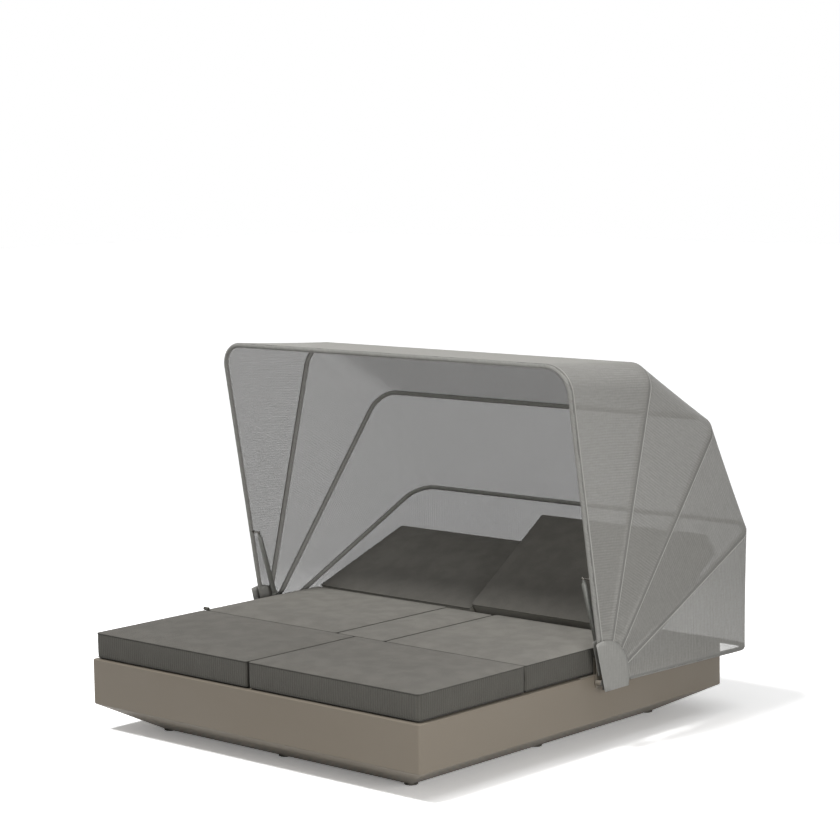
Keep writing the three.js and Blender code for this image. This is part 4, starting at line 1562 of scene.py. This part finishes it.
@dataclass
class Canopy:
    """The canopy: five hoops about one axis and the mesh cloth between them."""

    hub_x: float = 1.048
    tube_radius: float = 0.0085
    corner: float = 0.115
    tube_start: float = 0.205
    crimp_end: float = 0.160
    lug_half_width: float = 0.011
    lug_half_thickness: float = 0.0018
    lug_pitch: float = 0.0048
    lug_eye: float = 0.014
    cloth_gap: float = 0.0007
    cloth_thickness: float = 0.0008
    cloth_start: float = 0.150
    sag: float = 0.002
    sleeve_wall: float = 0.0020
    tuck: float = 0.0020
    leg_steps: int = 26
    corner_steps: int = 12
    top_steps: int = 24
    across_steps: int = 12
    first_roof: int = 3
    roof_from: float = 1.02
    roof_fade: float = 0.12
    leg_share: float = 0.9
    top_share: float = 1.1
    half_share: float = 1.5
    crimp_steps: int = 6
    wrap_angle: float = 14.0
    sag_share: float = 0.03
    sleeve_lead: float = 0.02
    sleeve_steps: int = 30
    sleeve_wobble: float = 0.0005
    wobble_scale: float = 30.0
    eye_neck: float = 0.6
    hoops: tuple = (
        Hoop("fixed", "root", -1.1, 1.13921, 0),
        Hoop("rear", "hoop_rear", 25.9, 1.27121, 1),
        Hoop("back", "hoop_back", 51.7, 1.37221, 2),
        Hoop("mid", "hoop_mid", 75.6, 1.40521, 3),
        Hoop("front", "hoop_front", FRONT_HOOP_ANGLE, 1.42121, 4),
    )

    def hub(self) -> Vector:
        """Return the middle of the hub axis."""
        return Vector(joint("canopy_fold")["pos_m"])

    def plane(self, hoop: Hoop) -> Matrix:
        """Return the matrix from a hoop's own plane to the frame."""
        return Matrix.Translation(self.hub()) @ Matrix.Rotation(math.radians(hoop.angle), 4, "X")

    def run(self, radius: float, hoop: Hoop, start: float, leg_steps: int = 1) -> Bar:
        """Draw a bar along a hoop's two legs and its top.

        Args:
            radius: The bar's radius.
            hoop: The hoop.
            start: The legs' start, from the hub axis.
            leg_steps: How many rings a leg has.

        Returns:
            The bar.
        """
        up = Vector((0, 0, 1))
        leg = hoop.reach - self.corner - start
        bar = Bar(radius, Vector((-self.hub_x, start, 0)), Vector((0, 1, 0)))
        bar.run(leg, leg_steps).bend(up, self.corner, -90, 14)
        bar.run(2 * (self.hub_x - self.corner), leg_steps * 2).bend(up, self.corner, -90, 14)
        return bar.run(leg, leg_steps)

    def frame_hoop(self, hoop: Hoop, finishes: Finishes) -> None:
        """Build one hoop with its flattened ends.

        Args:
            hoop: The hoop.
            finishes: The finishes.
        """
        bar = self.run(self.tube_radius, hoop, self.tube_start)
        for side in (1, -1):
            if side < 0:
                bar.other_end()
            self.crimp(bar, side * (hoop.layer - 2) * self.lug_pitch)
        new_piece(f"{hoop.name}_hoop", bar.done(self.plane(hoop)), hoop.body, Slot.HOOP, finishes.tube,
                  replaces=(f"hoop_{hoop.name}",), crease=50)

    def crimp(self, bar: Bar, offset: float) -> None:
        """Flatten the end of a tube into the lug that turns on the axle.

        Args:
            bar: The tube, drawn up to the start of the crimp.
            offset: The lug's distance from the tube's middle, across the hub.
        """
        length = (self.tube_start - self.crimp_end) / self.crimp_steps
        flat = self.lug_half_thickness / self.tube_radius
        wide = self.lug_half_width / self.tube_radius
        before, past = Vector((1, 1, 1)), 0.0
        for step in range(1, self.crimp_steps + 1):
            share = 0.5 - 0.5 * math.cos(math.pi * step / self.crimp_steps)
            now = Vector((1 + (flat - 1) * share, 1, 1 + (wide - 1) * share))
            factors = Vector((now.x / before.x, 1, now.z / before.z))
            bar.shape(length, factors, Vector((offset * (share - past), 0, 0)))
            before, past = now, share
        bar.run(self.crimp_end - self.lug_eye)
        bar.shape(self.lug_eye * self.eye_neck, Vector((1, 1, self.lug_eye / self.lug_half_width)))
        bar.run(self.lug_eye * (1 - self.eye_neck))
        width, reach = 1.0, 0.0
        for degrees in (30, 55, 75, 88):
            angle = math.radians(degrees)
            bar.shape(self.lug_eye * (math.sin(angle) - reach), Vector((1, 1, math.cos(angle) / width)))
            width, reach = math.cos(angle), math.sin(angle)

    def station(self, hoop: Hoop, share: float) -> tuple:
        """Find a place along a hoop.

        Args:
            hoop: The hoop.
            share: Where along it, from 0 at the left leg's start to 3 at the right leg's start,
                with 1 and 2 at the middles of the corners.

        Returns:
            The point and the tube's direction there, in the frame.
        """
        low, high, half = self.leg_share, self.top_share, self.half_share
        mirror = share > half
        t = 2 * half - share if mirror else share
        leg_end = hoop.reach - self.corner
        half_top = self.hub_x - self.corner
        if t <= low:
            x, r = -self.hub_x, self.cloth_start + (leg_end - self.cloth_start) * t / low
            direction = Vector((0, 1, 0))
        elif t <= high:
            angle = math.radians(90) * (t - low) / (high - low)
            x, r = -half_top - self.corner * math.cos(angle), leg_end + self.corner * math.sin(angle)
            direction = Vector((math.sin(angle), math.cos(angle), 0))
        else:
            x, r = -half_top * (half - t) / (half - high), hoop.reach
            direction = Vector((1, 0, 0))
        if mirror:
            x, direction = -x, Vector((direction.x, -direction.y, 0))
        plane = self.plane(hoop)
        return plane @ Vector((x, r, 0)), plane.to_3x3() @ direction

    def shares(self) -> list:
        """Return where along the hoops the cloth has its rows."""
        left = []
        stops = (0.0, self.leg_share, self.top_share, self.half_share)
        for first, last, steps in zip(stops, stops[1:], (self.leg_steps, self.corner_steps, self.top_steps)):
            left += [first + (last - first) * i / steps for i in range(steps)]
        return left + [self.half_share] + [2 * self.half_share - share for share in reversed(left)]

    def outward(self, low: Hoop, high: Hoop, share: float) -> Vector:
        """Return the outward normal of the cloth between two hoops at a place along them."""
        a, run_a = self.station(low, share)
        b, run_b = self.station(high, share)
        return (run_a + run_b).cross(b - a).normalized() * -1

    def cloth(self, index: int, finishes: Finishes) -> Object:
        """Build the cloth between a hoop and the next one towards the front.

        Args:
            index: The number of the higher hoop.
            finishes: The finishes.

        Returns:
            The cloth's object.
        """
        low, high = self.hoops[index - 1], self.hoops[index]
        rows = self.shares()
        across = self.across_steps
        bm = bmesh.new()
        from_low, from_high, roof = (bm.verts.layers.float.new(name) for name in ("from_low", "from_high", "roof"))
        bmesh.ops.create_grid(bm, x_segments=len(rows) - 1, y_segments=across, size=1)
        order = sorted(bm.verts, key=lambda v: (round(v.co.x, 5), round(v.co.y, 5)))
        places = {}
        turns = [0.0] * len(order)
        bm.verts.index_update()
        along = 0.0
        previous = None
        hub = self.hub()
        for i, share in enumerate(rows):
            section = self.section(index, share)
            middle = section[across // 2]
            if previous is not None:
                along += (middle - previous).length
            previous = middle
            width = 0.0
            total = path_length(section)
            for k, point in enumerate(section):
                if k:
                    width += (point - section[k - 1]).length
                vert = order[i * (across + 1) + k]
                vert.co = point
                places[vert] = (along, width)
                vert[from_low] = width
                vert[from_high] = total - width
                vert[roof] = self.roof(index, share)
                angle = math.degrees(math.atan2(point.z - hub.z, point.y - hub.y))
                turns[vert.index] = min(1.0, max(0.0, (angle - low.angle) / (high.angle - low.angle)))
        lay_cloth(bm, places.get)
        area = sum(face.calc_area() for face in bm.faces)
        bmesh.ops.recalc_face_normals(bm, faces=bm.faces)
        outside = self.outward(low, high, self.half_share)
        probe = min(bm.faces, key=lambda f: abs(f.calc_center_median().x) - f.calc_center_median().z)
        if probe.normal.dot(outside) < 0:
            bmesh.ops.reverse_faces(bm, faces=bm.faces)
        # The outer wall takes the lit copy of the cloth and the inner wall its painted-shade copy.
        mesh, inner_shaded = finishes.mesh, finishes.mesh_inner_painted_shade
        if index == 1:
            mesh, inner_shaded = finishes.mesh_rear, finishes.mesh_rear_inner_painted_shade
        elif high is self.hoops[-1]:
            inner_shaded = finishes.mesh_front_inner_painted_shade
        piece = new_piece(f"cloth_{high.name}", bm, f"{low.body} and {high.body}", Slot.MESH, mesh, inner_shaded,
                          replaces=(f"fabric_{high.name}",), crease=70, blended=True)
        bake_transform(piece)
        two_walled(piece, self.cloth_thickness, 0, 1)
        return piece

    def roof(self, index: int, share: float) -> float:
        """Return how far the cloth is roof, from 0 on the sides to 1 overhead.

        Args:
            index: The number of the higher hoop.
            share: Where along the hoops.

        Returns:
            The share.
        """
        if index < self.first_roof:
            return 0.0
        past = min(share, 2 * self.half_share - share) - self.roof_from
        return min(1.0, max(0.0, past / self.roof_fade))

    def section(self, index: int, share: float) -> list:
        """Return the cloth's points across from one hoop to the next.

        Args:
            index: The number of the higher hoop.
            share: Where along the hoops.

        Returns:
            The points, one more than there are steps across.
        """
        low, high = self.hoops[index - 1], self.hoops[index]
        a, b = (self.station(hoop, share)[0] for hoop in (low, high))
        normal = self.outward(low, high, share)
        lift = self.tube_radius + self.cloth_gap
        below = self.outward(self.hoops[index - 2], low, share) if index > 1 else normal
        above = self.outward(high, self.hoops[index + 1], share) if index + 1 < len(self.hoops) else normal
        start = (normal + below).normalized()
        end = (normal + above).normalized()
        across = (b - a).normalized()
        lean = math.radians(self.wrap_angle)
        first = (normal * math.cos(lean) + across * math.sin(lean)) * lift
        last = (normal * math.cos(lean) - across * math.sin(lean)) * lift
        inner = self.across_steps - 2
        points = [a + start * lift]
        sag = min(self.sag, (b - a).length * self.sag_share)
        for k in range(inner + 1):
            t = k / inner
            dip = 4 * t * (1 - t) * sag
            points.append((a + first).lerp(b + last, t) - normal * dip)
        points.append(b + end * lift)
        return points

    def sleeve(self, hoop: Hoop, finishes: Finishes) -> None:
        """Build the sewn sleeve that holds a hoop to the cloth, on the cloth's inner side.

        Args:
            hoop: The hoop.
            finishes: The finishes.
        """
        tucked = replace(self, hub_x=self.hub_x - self.tuck, corner=self.corner - self.tuck)
        inner = replace(hoop, reach=hoop.reach - self.tuck)
        start = self.tube_start - self.sleeve_lead
        bar = tucked.run(self.tube_radius + self.sleeve_wall, inner, start, self.sleeve_steps)
        for vert in bar.bm.verts:
            vert.co += self.sleeve_wobble * noise.noise_vector(vert.co * self.wobble_scale)
        bm = bar.done(self.plane(hoop))
        lay_cloth(bm, lambda vert: (vert.co.x + vert.co.z, vert.co.y + vert.co.z))
        cloth = finishes.sleeve if hoop in (self.hoops[0], self.hoops[-1]) else finishes.pocket
        new_piece(f"sleeve_{hoop.name}", bm, hoop.body, Slot.MESH, cloth, crease=60)

    def build(self, finishes: Finishes) -> None:
        """Build the hoops, the cloth and its sleeves."""
        for hoop in self.hoops:
            self.frame_hoop(hoop, finishes)
        for index in range(1, len(self.hoops)):
            self.cloth(index, finishes)
        for hoop in self.hoops:
            self.sleeve(hoop, finishes)


@dataclass
class HubSet:
    """What stands at one hub: the bracket's cover, the axle and the gas strut."""

    label: str
    cover_radius: float = 0.180
    cover_centre: Vector = field(default_factory=lambda: Vector((-0.020, 0.015)))
    cover_bottom: float = -0.032
    cover_tip: float = -0.017
    cover_front: float = 108.0
    cover_inner: float = 1.0310
    cover_outer: float = 1.0665
    cover_inner_front: float = 0.010
    cover_inner_rise: float = 0.070
    cover_inner_lean: float = -0.012
    cover_dome: float = 0.0015
    cover_wrinkle: float = 0.0012
    cover_axle_clear: float = 0.030
    cover_cut: tuple = (0.38, 0.34)
    cover_steps: int = 30
    cover_edge: float = 0.014
    cover_wall: float = 0.001
    axle_share: float = 0.4
    collar_steps: int = 12
    collar_gap: float = 0.0012
    folds: tuple = (16, 26)
    fine_folds: tuple = (45, 30)
    fine_share: float = 0.5
    collar_front: float = 102.8
    collar_back: float = 0.058
    collar_foot: float = -0.020
    collar_bottom: float = 0.036
    stud_reach: float = 0.478
    rod_radius: float = 0.005
    rod_length: float = 0.262
    tube_radius: float = 0.012
    tube_start: float = 0.078
    neck_radius: float = 0.007
    neck_length: float = 0.012
    bore_spare: float = 0.030
    ball_radius: float = 0.008

    def side(self) -> int:
        """Return 1 for the right hub and -1 for the left one."""
        return SIDES[self.label]

    def hub(self) -> Vector:
        """Return the hub axis at the daybed's middle."""
        return Vector(joint("canopy_fold")["pos_m"])

    def cover(self, finishes: Finishes) -> None:
        """Build the soft cloth flap over the hub, with its hem turned in below and behind."""
        hub = self.hub()
        bm = bmesh.new()
        radius = self.cover_radius
        start = math.asin((self.cover_bottom - self.cover_centre.y) / radius)
        end = math.radians(self.cover_front)
        foot = self.cover_centre.x + radius * math.cos(start)
        outline = [(self.cover_tip, self.cover_bottom), (self.cover_inner_front, self.cover_bottom)]
        outline += self.arc(start, end, self.cover_steps)
        verts = [bm.verts.new((self.cover_outer, hub.y + y, hub.z + z)) for y, z in outline]
        face = bm.faces.new(verts)
        hem = [e for e in face.edges if all(abs(v.co.z - hub.z - self.cover_bottom) < 1e-5 for v in e.verts)
               and max(v.co.y for v in e.verts) > hub.y + self.cover_inner_front + LEVEL]
        under = fresh_verts(bmesh.ops.extrude_edge_only(bm, edges=hem)["geom"])
        bmesh.ops.translate(bm, verts=under, vec=(self.cover_inner - self.cover_outer, 0, 0))
        fold = [e for e in bm.edges if all(v in under for v in e.verts)]
        inner = fresh_verts(bmesh.ops.extrude_edge_only(bm, edges=fold)["geom"])
        bmesh.ops.translate(bm, verts=inner, vec=(0, 0, self.cover_inner_rise))
        far = [v for v in inner if v.co.y > hub.y + foot - LEVEL]
        bmesh.ops.translate(bm, verts=far, vec=(0, self.cover_inner_lean, 0))
        self.collar(bm, hub)
        bmesh.ops.triangulate(bm, faces=bm.faces)
        for _ in range(3):
            bmesh.ops.subdivide_edges(bm, edges=[e for e in bm.edges if e.calc_length() > self.cover_edge], cuts=1)
            bmesh.ops.triangulate(bm, faces=bm.faces)
        bmesh.ops.recalc_face_normals(bm, faces=bm.faces)
        for vert in bm.verts:
            self.crumple(vert, hub)
        probe = max(bm.faces, key=lambda f: f.calc_center_median().x)
        if probe.normal.x < 0:
            bmesh.ops.reverse_faces(bm, faces=bm.faces)
        lay_cloth(bm, lambda vert: (vert.co.y + vert.co.x, vert.co.z))
        if self.side() < 0:
            bmesh.ops.transform(bm, matrix=Matrix.Diagonal((-1, 1, 1, 1)), verts=bm.verts)
            bmesh.ops.reverse_faces(bm, faces=bm.faces)
        area = sum(face.calc_area() for face in bm.faces)
        piece = new_piece(f"cover_{self.label}", bm, "root", Slot.COVER, finishes.cover,
                          replaces=(f"hub_cover_{self.label}",), crease=60)
        two_walled(piece, self.cover_wall, -1)

    def arc(self, first: float, last: float, steps: int) -> list:
        """Draw a stretch of the flap's round edge.

        Args:
            first: The angle where it starts.
            last: The angle where it ends.
            steps: How many steps it takes.

        Returns:
            The points, as distances behind and over the hub.
        """
        centre, radius = self.cover_centre, self.cover_radius
        angles = [first + (last - first) * i / steps for i in range(steps + 1)]
        return [(centre.x + radius * math.cos(angle), centre.y + radius * math.sin(angle)) for angle in angles]

    def collar(self, bm: BMesh, hub: Vector) -> None:
        """Add the flap's inner wall, which hides the stacked lugs from the seat.

        Args:
            bm: The flap.
            hub: The hub axis at the daybed's middle.
        """
        last = math.acos((self.collar_back - self.cover_centre.x) / self.cover_radius)
        outline = [(self.collar_foot, self.collar_bottom)]
        outline += self.arc(math.radians(self.collar_front), last, self.collar_steps)
        outline.append((self.collar_back, self.collar_bottom))
        x = self.cover_inner + self.collar_gap
        bm.faces.new([bm.verts.new((x, hub.y + y, hub.z + z)) for y, z in outline])

    def crumple(self, vert: BMVert, hub: Vector) -> None:
        """Dome the flap over the hub and let it wrinkle.

        Args:
            vert: A point of the flap.
            hub: The hub axis at the daybed's middle.
        """
        if vert.co.x < self.cover_outer - LEVEL:
            return
        y, z = vert.co.y - hub.y - self.cover_centre.x, vert.co.z - hub.z - self.cover_centre.y
        rim = min(1.0, math.hypot(y, z) / self.cover_radius)
        fold = noise.noise(Vector((y * self.folds[0], z * self.folds[1], self.side())))
        fold += self.fine_share * noise.noise(Vector((y * self.fine_folds[0], z * self.fine_folds[1], 3.0)))
        from_axle = math.hypot(vert.co.y - hub.y, vert.co.z - hub.z)
        loose = min(1.0, max(0.0, from_axle / self.cover_axle_clear - self.axle_share))
        vert.co.x += loose * self.cover_wrinkle * (fold - 1) - self.cover_dome * rim ** 3

    def strut(self, finishes: Finishes) -> None:
        """Build the gas strut between its lower pivot and its upper ball."""
        low = Vector(joint(f"strut_{self.label}_tilt")["pos_m"])
        angle = math.radians(FRONT_HOOP_ANGLE)
        hub = self.hub()
        high = Vector((low.x, hub.y + self.stud_reach * math.cos(angle), hub.z + self.stud_reach * math.sin(angle)))
        span = (high - low).length
        turn = Vector((0, 0, 1)).rotation_difference(high - low).to_matrix().to_4x4()
        place = Matrix.Translation(low) @ turn
        r = self.rod_radius
        rod = lathe([(0, 0.004), (r, 0.004), (r, self.rod_length - 0.001), (r - 0.001, self.rod_length),
                     (0, self.rod_length)], place, 20)
        ring = [(0.0043, -0.006), (0.0092, -0.006), (0.010, -0.0052), (0.010, 0.0052), (0.0092, 0.006),
                (0.0043, 0.006), (0.0043, -0.006)]
        merge(rod, lathe(ring, along_x(low), 28))
        new_piece(f"rod_{self.label}", rod, f"strut_rod_{self.label}", Slot.STEEL, finishes.steel,
                  replaces=(f"strut_rod_{self.label}",), crease=40)
        shoulder = span - self.ball_radius - self.neck_length
        t, n = self.tube_radius, self.neck_radius
        bore = r + 0.0003
        inner = self.rod_length + self.bore_spare
        tube = lathe([(0, inner), (bore, inner), (bore, self.tube_start), (t - 0.003, self.tube_start),
                      (t - 0.0008, self.tube_start + 0.0008), (t, self.tube_start + 0.003),
                      (t, self.tube_start + 0.016), (t - 0.0008, self.tube_start + 0.017),
                      (t - 0.0008, self.tube_start + 0.019), (t, self.tube_start + 0.020),
                      (t, shoulder - n - 0.002), (t - 0.001, shoulder - n), (n + 0.001, shoulder),
                      (n, shoulder + 0.001), (n, shoulder + 0.010), (n - 0.0012, shoulder + 0.011),
                      (n - 0.0012, span - 0.006), (0, span - 0.006)], place, 28)
        new_piece(f"tube_{self.label}", tube, f"strut_tube_{self.label}", Slot.STRUT, finishes.strut,
                  replaces=(f"strut_tube_{self.label}",), crease=40)
        ball = bmesh.new()
        bmesh.ops.create_uvsphere(ball, u_segments=24, v_segments=16, radius=self.ball_radius,
                                  matrix=Matrix.Translation(high))
        new_piece(f"ball_{self.label}", ball, f"strut_tube_{self.label}", Slot.STEEL, finishes.dark_steel, crease=60)
        self.stud(high, finishes)

    def stud(self, at: Vector, finishes: Finishes) -> None:
        """Build the stud that carries the strut's ball on the front hoop.

        Args:
            at: The ball's middle.
            finishes: The finishes.
        """
        low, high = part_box(f"strut_stud_{self.label}")
        length = high.x - low.x
        start = Vector((low.x if self.side() > 0 else high.x, at.y, at.z))
        bm = lathe([(0, 0), (0.0032, 0), (0.004, 0.0008), (0.004, length - 0.008), (0.0075, length - 0.008),
                    (0.0075, length - 0.0015), (0.0068, length), (0, length)], along_x(start, self.side()), 20)
        new_piece(f"stud_{self.label}", bm, "hoop_front", Slot.STEEL, finishes.dark_steel,
                  replaces=(f"strut_stud_{self.label}",), crease=40)

    def spacer(self, finishes: Finishes) -> None:
        """Build the stand-off between the base and the fixed hoop."""
        node = f"hoop_standoff_{self.label}"
        low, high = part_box(node)
        middle = (low + high) / 2
        radius, length = (high.z - low.z) / 2, high.x - low.x
        waist = radius - 0.0015
        bm = lathe([(0, 0), (radius, 0), (radius, 0.003), (waist, 0.0045), (waist, length - 0.0045),
                    (radius, length - 0.003), (radius, length), (0, length)],
                   along_x(Vector((low.x, middle.y, middle.z))), 28)
        new_piece(f"spacer_{self.label}", bm, "root", Slot.HOOP, finishes.tube, replaces=(node,), crease=40)

    def build(self, finishes: Finishes) -> None:
        """Build the hub's pieces and dress the ones that keep their CAD form."""
        self.cover(finishes)
        self.strut(finishes)
        self.spacer(finishes)
        dress(f"hub_bracket_{self.label}", finishes.bracket)
        dress(f"hub_axle_{self.label}", finishes.steel)
        dress(f"strut_pin_{self.label}", finishes.steel)


def merge(target: BMesh, other: BMesh) -> None:
    """Add one bmesh to another.

    Args:
        target: The bmesh that grows.
        other: The bmesh that is added, which is freed.
    """
    mesh = bpy.data.meshes.new("part")
    other.to_mesh(mesh)
    other.free()
    target.from_mesh(mesh)
    bpy.data.meshes.remove(mesh)


@dataclass(frozen=True)
class Sun:
    """A soft, far lamp, by the share of a plain level that it gives to a flat top."""

    name: str
    travel: Vector
    width: float
    level: float


@dataclass
class Studio:
    """Camera, floor, lamps and background."""

    camera_place: Vector = field(default_factory=lambda: Vector((7.3993159, -8.2436782, 2.6945006)))
    camera_yaw: float = 41.9446361
    camera_pitch: float = 6.7305889
    camera_roll: float = -0.7625841
    lens: float = 104.3731
    sensor: float = 36.0
    floor_colour: float = 0.30
    floor_seen: float = 1.45
    floor_far_seen: float = 0.70
    floor_near: float = 2.6
    floor_far: float = 4.2
    floor_glow: float = 0.15
    floor_half: float = 40.0
    see_through: int = 24
    clip_end: float = 100.0
    world_light: float = 0.22
    suns: tuple = (
        Sun("sun_key", Vector((0.165, 0.5, -1)), 12, 0.55),
        Sun("sun_sky", Vector((-0.15, -0.3, -1)), 45, 0.15),
    )
    side_lamp: Vector = field(default_factory=lambda: Vector((5.0, -2.0, 1.05)))
    side_aim: Vector = field(default_factory=lambda: Vector((0.6, -0.4, 0.4)))
    side_size: float = 2.0
    side_watts: float = 90.0

    def camera(self) -> None:
        """Set up the photograph's camera."""
        data = bpy.data.cameras.new("camera")
        data.lens = self.lens
        data.sensor_width = self.sensor
        data.clip_end = self.clip_end
        item = linked("camera", data)
        turn = (Matrix.Rotation(math.radians(self.camera_yaw), 4, "Z")
                @ Matrix.Rotation(math.radians(90 - self.camera_pitch), 4, "X")
                @ Matrix.Rotation(math.radians(self.camera_roll), 4, "Z"))
        item.matrix_world = Matrix.Translation(self.camera_place) @ turn
        bpy.context.scene.camera = item

    def background(self) -> None:
        """Make the world white to the eye and plain to the object."""
        world = bpy.data.worlds.new("studio")
        world.use_nodes = True
        bpy.context.scene.world = world
        s = Nodes(world.node_tree)
        light, white = (s.add("ShaderNodeBackground", {"Color": (1, 1, 1, 1), "Strength": strength})
                        for strength in (self.world_light, 1.0))
        s.end("World Output", s.add("ShaderNodeMixShader", {0: s.seen(), 1: light, 2: white}))

    def floor(self) -> None:
        """Lay the pale floor, which fades to white away from the object."""
        bm = bmesh.new()
        bmesh.ops.create_grid(bm, x_segments=1, y_segments=1, size=self.floor_half)
        mesh = bpy.data.meshes.new("floor")
        bm.to_mesh(mesh)
        bm.free()
        item = linked("floor", mesh)
        s = Shader("floor_white")
        mesh.materials.append(s.finish(Base_Color=(self.floor_colour,) * 3 + (1,), Roughness=0.9,
                                       Specular_IOR_Level=0.0))
        reach = s.add("ShaderNodeVectorMath", {0: s.place()}, output=1, operation="LENGTH")
        away = s.add("ShaderNodeMapRange", {"Value": reach, "From Min": self.floor_near, "From Max": self.floor_far})
        pale, far = (s.add("ShaderNodeBsdfDiffuse", {"Color": (level,) * 3 + (1,)})
                     for level in (self.floor_seen, self.floor_far_seen))
        lit = s.add("ShaderNodeMixShader", {0: away, 1: pale, 2: far})
        glow = s.add("ShaderNodeEmission", {"Strength": self.floor_glow})
        plain = s.shader.outputs[0]
        total = s.add("ShaderNodeAddShader", {0: s.add("ShaderNodeAddShader", {0: plain, 1: lit}), 1: glow})
        s.end("Material Output", s.add("ShaderNodeMixShader", {0: s.seen(), 1: plain, 2: total}))

    def sun(self, lamp: Sun) -> None:
        """Hang one soft sun.

        Args:
            lamp: Its direction, softness and level.
        """
        data = bpy.data.lights.new(lamp.name, "SUN")
        data.angle = math.radians(lamp.width)
        data.energy = lamp.level * math.pi * lamp.travel.length / -lamp.travel.z
        item = linked(lamp.name, data)
        item.matrix_world = lamp.travel.to_track_quat("-Z", "Y").to_matrix().to_4x4()

    def side_light(self) -> None:
        """Hang the soft lamp to the right of the camera."""
        data = bpy.data.lights.new("lamp_side", "AREA")
        data.shape = "DISK"
        data.size = self.side_size
        data.energy = self.side_watts
        item = linked("lamp_side", data)
        turn = (self.side_aim - self.side_lamp).to_track_quat("-Z", "Y").to_matrix().to_4x4()
        item.matrix_world = Matrix.Translation(self.side_lamp) @ turn
        item.visible_camera = False

    def build(self) -> None:
        """Set up the studio."""
        scene = bpy.context.scene
        scene.view_settings.view_transform = "Standard"
        scene.cycles.transparent_max_bounces = self.see_through
        self.camera()
        self.background()
        self.floor()
        for lamp in self.suns:
            self.sun(lamp)
        self.side_light()


def main() -> None:
    """Build the daybed and its studio."""
    logging.basicConfig(level=logging.INFO, format="%(message)s")
    noise.seed_set(NOISE_SEED)
    finishes = Finishes()
    Studio().build()
    Base().build(finishes)
    Seat().build(finishes)
    for label in SIDES:
        Back(label).build(finishes)
    Canopy().build(finishes)
    for label in SIDES:
        HubSet(label).build(finishes)


if __name__ == "__main__":
    main()
